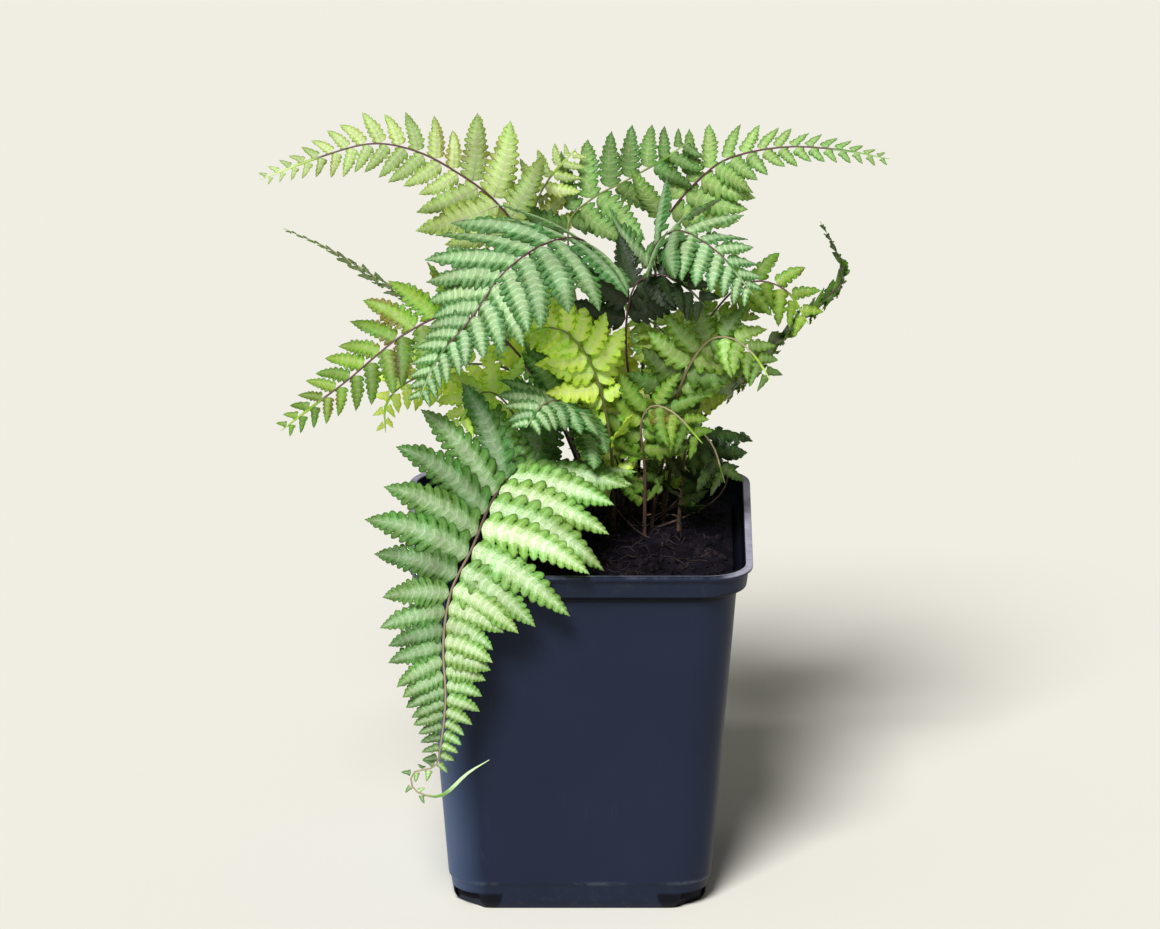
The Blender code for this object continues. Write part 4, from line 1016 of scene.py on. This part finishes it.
def pinnaMould(size, habit, seed):
    # a flat pinna of length 1 and half width 1: x runs along the costa, y across, and the place within each
    # pinnule is kept as a point value
    rng = random.Random(seed)
    bm = bmesh.new()
    place = bm.verts.layers.float_vector.new("pinnule")
    rows, columns, wing = size["rows"], size["columns"], size["wing"]
    count = max(3, round(size["pinnules"] * habit["share"]))
    shares = 1 - (1 - np.linspace(0, 1, count + 1)) ** pinna["crowding"]
    ends = pinna["start"] + (pinna["tipFrom"] - pinna["start"]) * shares

    def forward(t, v):
        # how far a point at v across is shifted towards the tip
        angle = math.radians(pinna["angle"][0] + (pinna["angle"][1] - pinna["angle"][0]) * t)
        half = growth["halfWidth"] * ((1 - t) / (1 - growth["widestAt"])) ** growth["taper"]
        return half * v / math.tan(angle)

    for way in (-1, 1):
        for start, end in zip(ends, ends[1:]):
            reach = rng.uniform(*pinna["reach"])
            raised = rng.uniform(-1, 1)
            for vert in bmesh.ops.create_grid(bm, x_segments=columns, y_segments=rows, size=1)["verts"]:
                across, row = vert.co.x, round((vert.co.y + 1) / 2 * rows)
                grown = max(0, row - 1) / (rows - 1)
                v = 0.0 if row == 0 else wing + (reach - wing) * grown
                wide = 0.5
                if row > 1:
                    wide = habit["plump"] * (habit["waist"] + (1 - habit["waist"]) * min(1, grown / 0.5))
                    wide *= 1 - (1 - habit["tip"]) * grown ** 3
                    wide *= 1 + habit["teeth"] * (-1) ** row
                    v -= habit["blunt"] * (1 - wing) * across * across * grown ** 4
                t = (start + end) / 2 + across * wide * (end - start)
                shift = forward(t if row < 2 else (start + end) / 2, v)
                vert.co = (t + shift, v * way, 0)
                vert[place] = (abs(across), grown, raised * habit["ruffle"])
    # the undivided toothed tip grows on from the last pinnules
    last, steps = ends[-1], pinna["tipSteps"]
    for vert in bmesh.ops.create_grid(bm, x_segments=2, y_segments=steps, size=1)["verts"]:
        across, row = vert.co.x, round((vert.co.y + 1) / 2 * steps)
        v = pinna["tipTeeth"][row % 2] if row else wing
        t = last + (1 - last) * row / steps
        vert.co = (t + forward(last, abs(across) * v), -across * v, 0)
        vert[place] = (0.3, 0.5 * abs(across), 0)
    bmesh.ops.remove_doubles(bm, verts=bm.verts, dist=pinna["weld"])
    bmesh.ops.recalc_face_normals(bm, faces=bm.faces)
    if sum(face.normal.z for face in bm.faces) < 0:
        bmesh.ops.reverse_faces(bm, faces=bm.faces)
    bmesh.ops.solidify(bm, geom=bm.faces[:], thickness=1.0)
    mesh = toMesh(bm, "pinnaMould")
    values = np.zeros(len(mesh.vertices) * 3)
    mesh.attributes["pinnule"].data.foreach_get("vector", values)
    return mesh, coordinates(mesh), values.reshape(-1, 3)


def addPinna(bm, leaf, mould, habit, fuller, pinnaToneAndPaintedLight, rng):
    mesh, spots, values = mould
    t, v = np.clip(spots[:, 0], -0.05, 1), spots[:, 1] * leaf.way
    top = np.where(spots[:, 2] > -0.5, 1.0, -1.0)
    across, grown, raised = values.T
    point, side, up = leaf.frame(t)
    # the short pinnae near a frond's tip run together at their roots
    merged = 1 - min(1, leaf.length / pinna["mergeFrom"])
    root = merged * min(leaf.room, leaf.length / 2) / (leaf.wide * fuller)
    root = pinna["rootWidth"] * (1 - merged) + root
    half = leaf.wide * fuller * (root + (1 - root) * np.minimum(1, t / pinna["fullFrom"]))
    sharp, blunt = pinna["rounding"]
    half = half * (1 - np.maximum(t, 0) ** sharp) ** blunt
    spread = np.abs(v)
    height = top * 0.5 * pinna["thick"] * (1 - pinna["thinner"] * spread)
    height -= half * (pinna["cup"] * v * v + pinna["fold"] * spread)
    height -= pinna["quilt"] * half * across ** 2 * grown ** 0.5
    height += raised * half * grown ** 2
    turn = math.radians(rng.uniform(-1, 1) * habit["twist"])
    height += np.tan(turn * t) * v * half
    height += pinna["wave"] * leaf.length * np.sin(pinna["waves"] * t + rng.uniform(0, 6)) * spread * grown
    curl = rng.uniform(*habit["curl"]) * leaf.length
    sweep = rng.uniform(-1, 1) * habit["sweep"] * leaf.length
    height += curl * t ** 2
    places = point + side * (v * half + sweep * t ** 2)[:, None] + up * height[:, None]
    press(bm, mesh, places, 0, {"leafPlace": np.stack([spread, t, np.full(len(t), pinnaToneAndPaintedLight)], 1),
                                "pinnule": np.stack([across, grown, (top + 1) / 2], 1)})
    # the costa is a fine raised rib on both sides, and turns from the stalk's colour to the leaf's
    steps = np.linspace(0, costa["reach"], costa["stations"][leaf.length > costa["longFrom"]])
    line, sides, ups = leaf.frame(steps)
    line = line + (sides * sweep + ups * curl) * (steps ** 2)[:, None]
    thick = min(1, 0.5 + leaf.length / 30) * costa["thick"]
    radii = [thick * (1 - costa["thinner"] * s) for s in steps]
    tints = [1.15 + 0.85 * min(1, 3 * s) for s in steps]
    addTube(bm, line, radii, costa["sides"], list(zip(ups, -sides * leaf.way)), 1, tints)


# fin is how much wider the winged tip is, and leafy how far its colour turns to the leaf's; bareTips have
# no pinnae there
stalkDress = dict(station=2.2, sides=8, thick=0.66, thinner=0.18, tipThinner=2.6, tipFrom=0.9,
                  swell=0.1, swellOften=0.35, wingFrom=0.88, fin=1.2, flatter=0.4, leafy=0.9,
                  leafyFrom=0.86, leafyWithin=0.08, bareTips={"front_fall": dict(fin=1.9, leafy=1.15)},
                  scales=14, scalesUpTo=16, scaleLength=(0.8, 2.2))


def addStalk(bm, rib, dress, rng):
    # stalk and rib in one tube, from the soil to the frond's tip, which is winged like a narrow leaf
    count = max(12, int(rib.length / dress["station"]))
    stations = np.concatenate([[-growth["stalkDepth"]], np.linspace(0, rib.length, count)])
    path, frames, radii = [], [], []
    for s in stations:
        point, _, side, up = rib.at(max(s, 0))
        path.append(point + np.array((0, 0, min(s, 0))))
        share = max(s, 0) / rib.length
        wing = math.sin(math.pi * max(0, share - dress["wingFrom"]) / (1 - dress["wingFrom"]))
        frames.append((up * (1 - dress["flatter"] * wing), side * (1 + dress["fin"] * wing)))
        swell = 1 + dress["swell"] * noise.noise((s * dress["swellOften"], rib.length, 0))
        thick = dress["thick"] - dress["thinner"] * share
        thick -= dress["tipThinner"] * max(0, share - dress["tipFrom"])
        radii.append(rib.radius(max(s, 0)) * swell * thick)
    shares = np.maximum(stations, 0) / rib.length
    tints = shares + dress["leafy"] * np.clip((shares - dress["leafyFrom"]) / dress["leafyWithin"], 0, 1)
    addTube(bm, path, radii, dress["sides"], frames, 1, tints)
    # papery scales at the foot
    for _ in range(dress["scales"]):
        s = rng.random() ** 1.6 * dress["scalesUpTo"]  # most of them are low down
        point, _, side, up = rib.at(s)
        angle = rng.uniform(0, fullTurn)
        out = side * math.cos(angle) + up * math.sin(angle)
        root = point + out * rib.radius(s) * 0.7
        addScale(bm, root, out, rng, rng.uniform(*dress["scaleLength"]), 1, scaleTint)


# small stray pinnae low on the stalks in the tuft's middle
sprigs = dict(on=("lime_front", "lime_mid", "lime_centre", "lime_right", "lime_high", "low_mid",
                  "low_right", "mid_low", "young_low"),
              count=7, along=(0.3, 1.05), length=(5, 12), most=9, lean=(35, 80), turn=(-70, 70), droop=0.25)


def strayPinna(rib, rng):
    return Leaflet(rib, rib.start * rng.uniform(*sprigs["along"]), rng.choice((-1, 1)),
                   rng.uniform(*sprigs["length"]), sprigs["most"], rng.uniform(*sprigs["lean"]),
                   rng.uniform(*sprigs["turn"]), rng.uniform(*sprigs["turn"]), sprigs["droop"])


# leaf finishes: margin and centre colours of a pinna, how far the pale centre reaches and how strong it is;
# the edge colour is the dark line between pinnules, partly the leaf's own darker edge and partly painted
# shade in the gaps
leafLooks = {
    "silverStripe": dict(margin=(0.165, 0.35, 0.055), centre=(0.63, 0.83, 0.47), costa=(0.68, 0.82, 0.52),
                         edge=(0.032, 0.1, 0.014), under=(0.23, 0.34, 0.1),
                         reach=0.44, silver=0.92, midrib=0.4, light=0.2),
    "teal": dict(margin=(0.075, 0.205, 0.045), centre=(0.56, 0.77, 0.41), costa=(0.466, 0.62, 0.34),
                 edge=(0.019, 0.07, 0.022), under=(0.18, 0.29, 0.1),
                 reach=0.46, silver=0.9, midrib=0.45, light=0.2),
    "bloom": dict(margin=(0.111, 0.26, 0.03), centre=(0.487, 0.68, 0.24), costa=(0.58, 0.68, 0.3),
                  edge=(0.031, 0.095, 0.016), under=(0.195, 0.28, 0.08),
                  reach=0.66, silver=0.75, midrib=0.7, light=0.2),
    "pale": dict(margin=(0.32, 0.48, 0.06), centre=(0.74, 0.88, 0.42), costa=(0.7, 0.7, 0.42),
                 edge=(0.26, 0.24, 0.05), under=(0.5, 0.58, 0.2),
                 reach=0.7, silver=0.88, midrib=0.55, light=0.4),
    "green": dict(margin=(0.176, 0.34, 0.016), centre=(0.496, 0.66, 0.11), costa=(0.496, 0.58, 0.16),
                  edge=(0.081, 0.16, 0.01), under=(0.27, 0.34, 0.06),
                  reach=0.5, silver=0.7, midrib=0.6, light=0.3),
    "olive": dict(margin=(0.091, 0.16, 0.014), centre=(0.234, 0.31, 0.055), costa=(0.286, 0.3, 0.1),
                  edge=(0.042, 0.07, 0.008), under=(0.154, 0.19, 0.035),
                  reach=0.45, silver=0.6, midrib=0.5, light=0.25),
    "lime": dict(margin=(0.4, 0.79, 0.045), centre=(0.65, 0.97, 0.29), costa=(0.64, 0.88, 0.32),
                 edge=(0.184, 0.4, 0.01), under=(0.46, 0.82, 0.075),
                 reach=0.6, silver=0.7, midrib=0.6, light=0.4),
    "leafy": dict(margin=(0.29, 0.48, 0.022), centre=(0.74, 0.94, 0.34), costa=(0.614, 0.72, 0.2),
                  edge=(0.116, 0.21, 0.008), under=(0.464, 0.52, 0.04),
                  reach=0.55, silver=0.75, midrib=0.6, light=0.35),
    # the shaded finish is painted shade: a near-black leaf for the frond that lies in shadow under the
    # others
    "shaded": dict(margin=(0.018, 0.034, 0.008), centre=(0.057, 0.09, 0.022), costa=(0.081, 0.11, 0.05),
                   edge=(0.009, 0.018, 0.006), under=(0.031, 0.05, 0.02),
                   reach=0.5, silver=0.6, midrib=0.5, light=0.1),
}
stalkLooks = {
    "purple": dict(foot=(0.035, 0.018, 0.014), middle=(0.055, 0.018, 0.026), top=(0.11, 0.04, 0.05)),
    "brown": dict(foot=(0.10, 0.062, 0.042), middle=(0.13, 0.07, 0.055), top=(0.36, 0.3, 0.17)),
    "green": dict(foot=(0.13, 0.085, 0.05), middle=(0.15, 0.12, 0.05), top=(0.22, 0.26, 0.08)),
}
scaleColour, scaleTint = (0.13, 0.075, 0.035), -0.2
# leaf and stalk finish, habit, how much wider a pinna is than in the frame, and how much paler the pinnae
# are, with a second value where those on the rib's right differ. The paleness is partly painted light and
# shade, lightening fronds that lie in shadow and darkening others, and the second value paints one side of a
# frond darker, as if lit from the other side
frondLooks = {
    "front_fall": ("silverStripe", "brown", "close", 1.8, 0.35, -0.95),
    "silver_centre": ("teal", "purple", "close", 1.72, 0),
    "arch_left": ("pale", "purple", "close", 1.45, -0.5),
    "arch_right": ("bloom", "purple", "close", 1.55, 0),
    "left_reach": ("green", "purple", "close", 1.5, -1.1, -0.7),
    "silver_front": ("teal", "brown", "close", 1.75, 0),
    "silver_right": ("teal", "purple", "close", 1.65, 0),
    "upswept": ("green", "purple", "close", 3.0, -1.8), "mid_right": ("green", "purple", "open", 1.6, -0.7),
    "top_mid": ("bloom", "green", "close", 1.5, -0.8), "top_pale": ("pale", "green", "close", 1.3, 0),
    "left_twig": ("bloom", "brown", "close", 1.6, 0), "lime_left": ("lime", "green", "open", 1.7, 1.5),
    "mid_low": ("leafy", "brown", "open", 1.7, -1.5),
    "dark_right": ("shaded", "purple", "close", 1.7, -1.0),
    "low_right": ("olive", "brown", "open", 1.6, -2.0), "low_mid": ("green", "brown", "open", 1.5, -1.0),
    "lime_front": ("lime", "green", "open", 1.7, 0.8), "lime_mid": ("lime", "green", "open", 1.7, 1.4),
    "lime_centre": ("leafy", "green", "open", 1.7, 1.9), "lime_right": ("leafy", "green", "open", 1.7, 0.2),
    "lime_high": ("lime", "green", "open", 1.7, 0.9),
    "back_left": ("silverStripe", "purple", "close", 1.6, 0),
    "back_right": ("bloom", "purple", "close", 1.6, 0),
    "back_fall": ("silverStripe", "brown", "close", 1.6, 0), "young_low": ("lime", "green", "open", 1.7, 0),
}
rust = dict(patches=(0.58, 0.68), on={"green": 0.7, "pale": 0.55, "leafy": 0.3, "olive": 0.5},
            colour=(0.24, 0.11, 0.025))


def leafMaterial(name):
    look = leafLooks[name]
    f = Finish(name + "Leaf", 0.5, shine=0.35)
    spread, length, pinnaToneAndPaintedLight = f.split(f.attribute("leafPlace"))
    across, grown, top = f.split(f.attribute("pinnule"))
    mottle, broad = f.noise(900, 3, 0.6), f.noise(120, 2)
    # pale centre along the costa, fading out along each pinnule's own midrib
    ragged = f.maths("ADD", spread, f.line(mottle, 0.7, -0.35))
    centre = f.times(f.ramp(ragged, look["reach"] * 0.45, look["reach"] * 1.25, 1, 0), look["silver"],
                     f.ramp(length, 0.55, 1.05, 1, 0.35), f.ramp(across, 0.35, 0.95, 1, 0.62))
    midrib = f.times(f.ramp(across, 0.04, 0.42, 1, 0), f.ramp(grown, 0.1, 1, 1, 0.1))
    centre = f.larger(centre, f.times(midrib, look["midrib"]))
    # side veins run out and forward from the midrib, a little unevenly
    slant = f.line(mottle, 6, f.line(across, -9, f.times(grown, 30)))
    veins = f.line(f.maths("SINE", slant), 0.5, 0.5)
    colour = f.mix(f.times(centre, f.line(veins, 0.5, 0.5)), look["margin"], look["centre"])
    # the dark line along each pinnule's sides and tip is partly the leaf's darker edge and partly painted
    # shade in the gaps between pinnules
    rim = f.times(f.ramp(f.larger(across, grown), 0.7, 1), f.ramp(grown, 0, 0.15), 0.6)
    colour = f.mix(rim, colour, look["edge"])
    colour = f.mix(f.ramp(ragged, -0.05, 0.12, 0.7, 0), colour, look["costa"])
    colour = f.mix(f.line(top, -0.65, 0.65), colour, look["under"])
    # here and there the edge of a pinna has gone rusty
    rusty = f.times(f.ramp(f.noise(75, 3), *rust["patches"]), f.ramp(ragged, 0.2, 0.7),
                    rust["on"].get(name, 0))
    colour = f.mix(rusty, colour, rust["colour"])
    # the pinna's tone, which is partly painted light and shade, and a broad noise make it lighter or darker
    shade = f.line(pinnaToneAndPaintedLight, 0.34, f.line(broad, 0.7, 0.48))
    hue = f.line(broad, 0.07, f.line(pinnaToneAndPaintedLight, -0.015, 0.476))
    shifted = f.add("HueSaturation", {"Hue": hue, "Value": shade, "Color": colour}).outputs["Color"]
    f.give({"Base Color": shifted, "Roughness": f.line(mottle, 0.25, 0.38),
            "Subsurface Weight": look["light"], "Subsurface Radius": (0.8, 1.0, 0.3),
            "Subsurface Scale": 0.0012})
    f.emboss(f.line(midrib, -1.2, f.line(veins, 0.35, mottle)), 0.5, 0.00012)
    return f.material


def stalkMaterial(name, look, leaf):
    # stalkTint is below 0 on scales, 0 to 1 along the stalk, and above 1 where it turns to leaf
    f = Finish(name + "Stalk", 0.45)
    fibre = f.noise(1, 2, at=f.stretched((1500, 1500, 250)))
    tint = f.maths("ADD", f.attribute("stalkTint", "Fac"), f.line(fibre, 0.16, -0.08))
    below, span = 0.3, 2.4
    band = f.add("ValToRGB", {"Fac": f.maths("DIVIDE", f.maths("ADD", tint, below), span)})
    stops = band.color_ramp.elements
    colours = [(0.0, scaleColour), (0.3, look["foot"]), (0.7, look["middle"]), (0.95, look["top"]),
               (1.5, look["top"]), (1.75, leaf["margin"]), (2.0, leaf["margin"]), (span, leaf["centre"])]
    for number, (spot, colour) in enumerate(colours):
        stop = stops[number] if number < 2 else stops.new(spot / span)
        stop.position = spot / span
        stop.color = (*colour, 1)
    f.give({"Base Color": band.outputs["Color"], "Roughness": f.line(fibre, 0.3, 0.3)})
    f.emboss(fibre, 0.4, 0.0001)
    return f.material


def pieceName(name):
    return "frond" + "".join(part.capitalize() for part in name.split("_"))


def makeFronds():
    moulds = {key: [[pinnaMould(size, habit, pinna["seed"] + 10 * k + j) for j in range(pinna["variants"])]
                    for k, size in enumerate(pinnaSizes)] for key, habit in pinnaHabits.items()}
    finishes = {}
    for name, (rib, rows) in planFronds().items():
        leafKind, stalkKind, habit, fuller, *frondToneAndPaintedLight = frondLooks[name]
        if leafKind not in finishes:
            finishes[leafKind] = leafMaterial(leafKind)
        both = stalkKind + leafKind.capitalize()
        if both not in finishes:
            finishes[both] = stalkMaterial(both, stalkLooks[stalkKind], leafLooks[leafKind])
        rng = random.Random(name)
        bm = bmesh.new()
        bareTip = name in stalkDress["bareTips"]
        addStalk(bm, rib, {**stalkDress, **stalkDress["bareTips"].get(name, {})}, rng)
        if name in sprigs["on"]:
            rows.append([strayPinna(rib, rng) for _ in range(sprigs["count"])])
        count = 0
        for leaf in [leaf for row in rows for leaf in row if leaf]:
            if bareTip and leaf.station > stalkDress["wingFrom"] * rib.length:
                continue
            size = next(k for k, size in enumerate(pinnaSizes) if leaf.length > size["above"])
            mould = moulds[habit][size][rng.randrange(pinna["variants"])]
            # paleness of the frond and of its side, partly painted light and shade, plus a random tone for
            # each pinna
            pinnaToneAndPaintedLight = frondToneAndPaintedLight[-1 if leaf.way > 0 else 0] + pinnaHabits[habit]["tones"] * (rng.random() - 0.1)
            addPinna(bm, leaf, mould, pinnaHabits[habit], fuller, pinnaToneAndPaintedLight, rng)
            count += 1
        kind = name.split("_")[0]
        slot = (kind if kind in ("silver", "lime") else "green") + "_frond"
        piece = addPiece(pieceName(name), bm, [finishes[leafKind], finishes[both]], slot, "frond_" + name,
                         sharp=70)
        print(piece.name, "has", count, "pinnae and", len(piece.data.polygons), "faces")


setStudio()
setCamera()
setFloor()
print("studio ready")
makePot()
makeSoil()
makeCrumbs()
makeFibres()
makeCrown()
makeDryStems()
print("soil and rhizome made")
makeFronds()
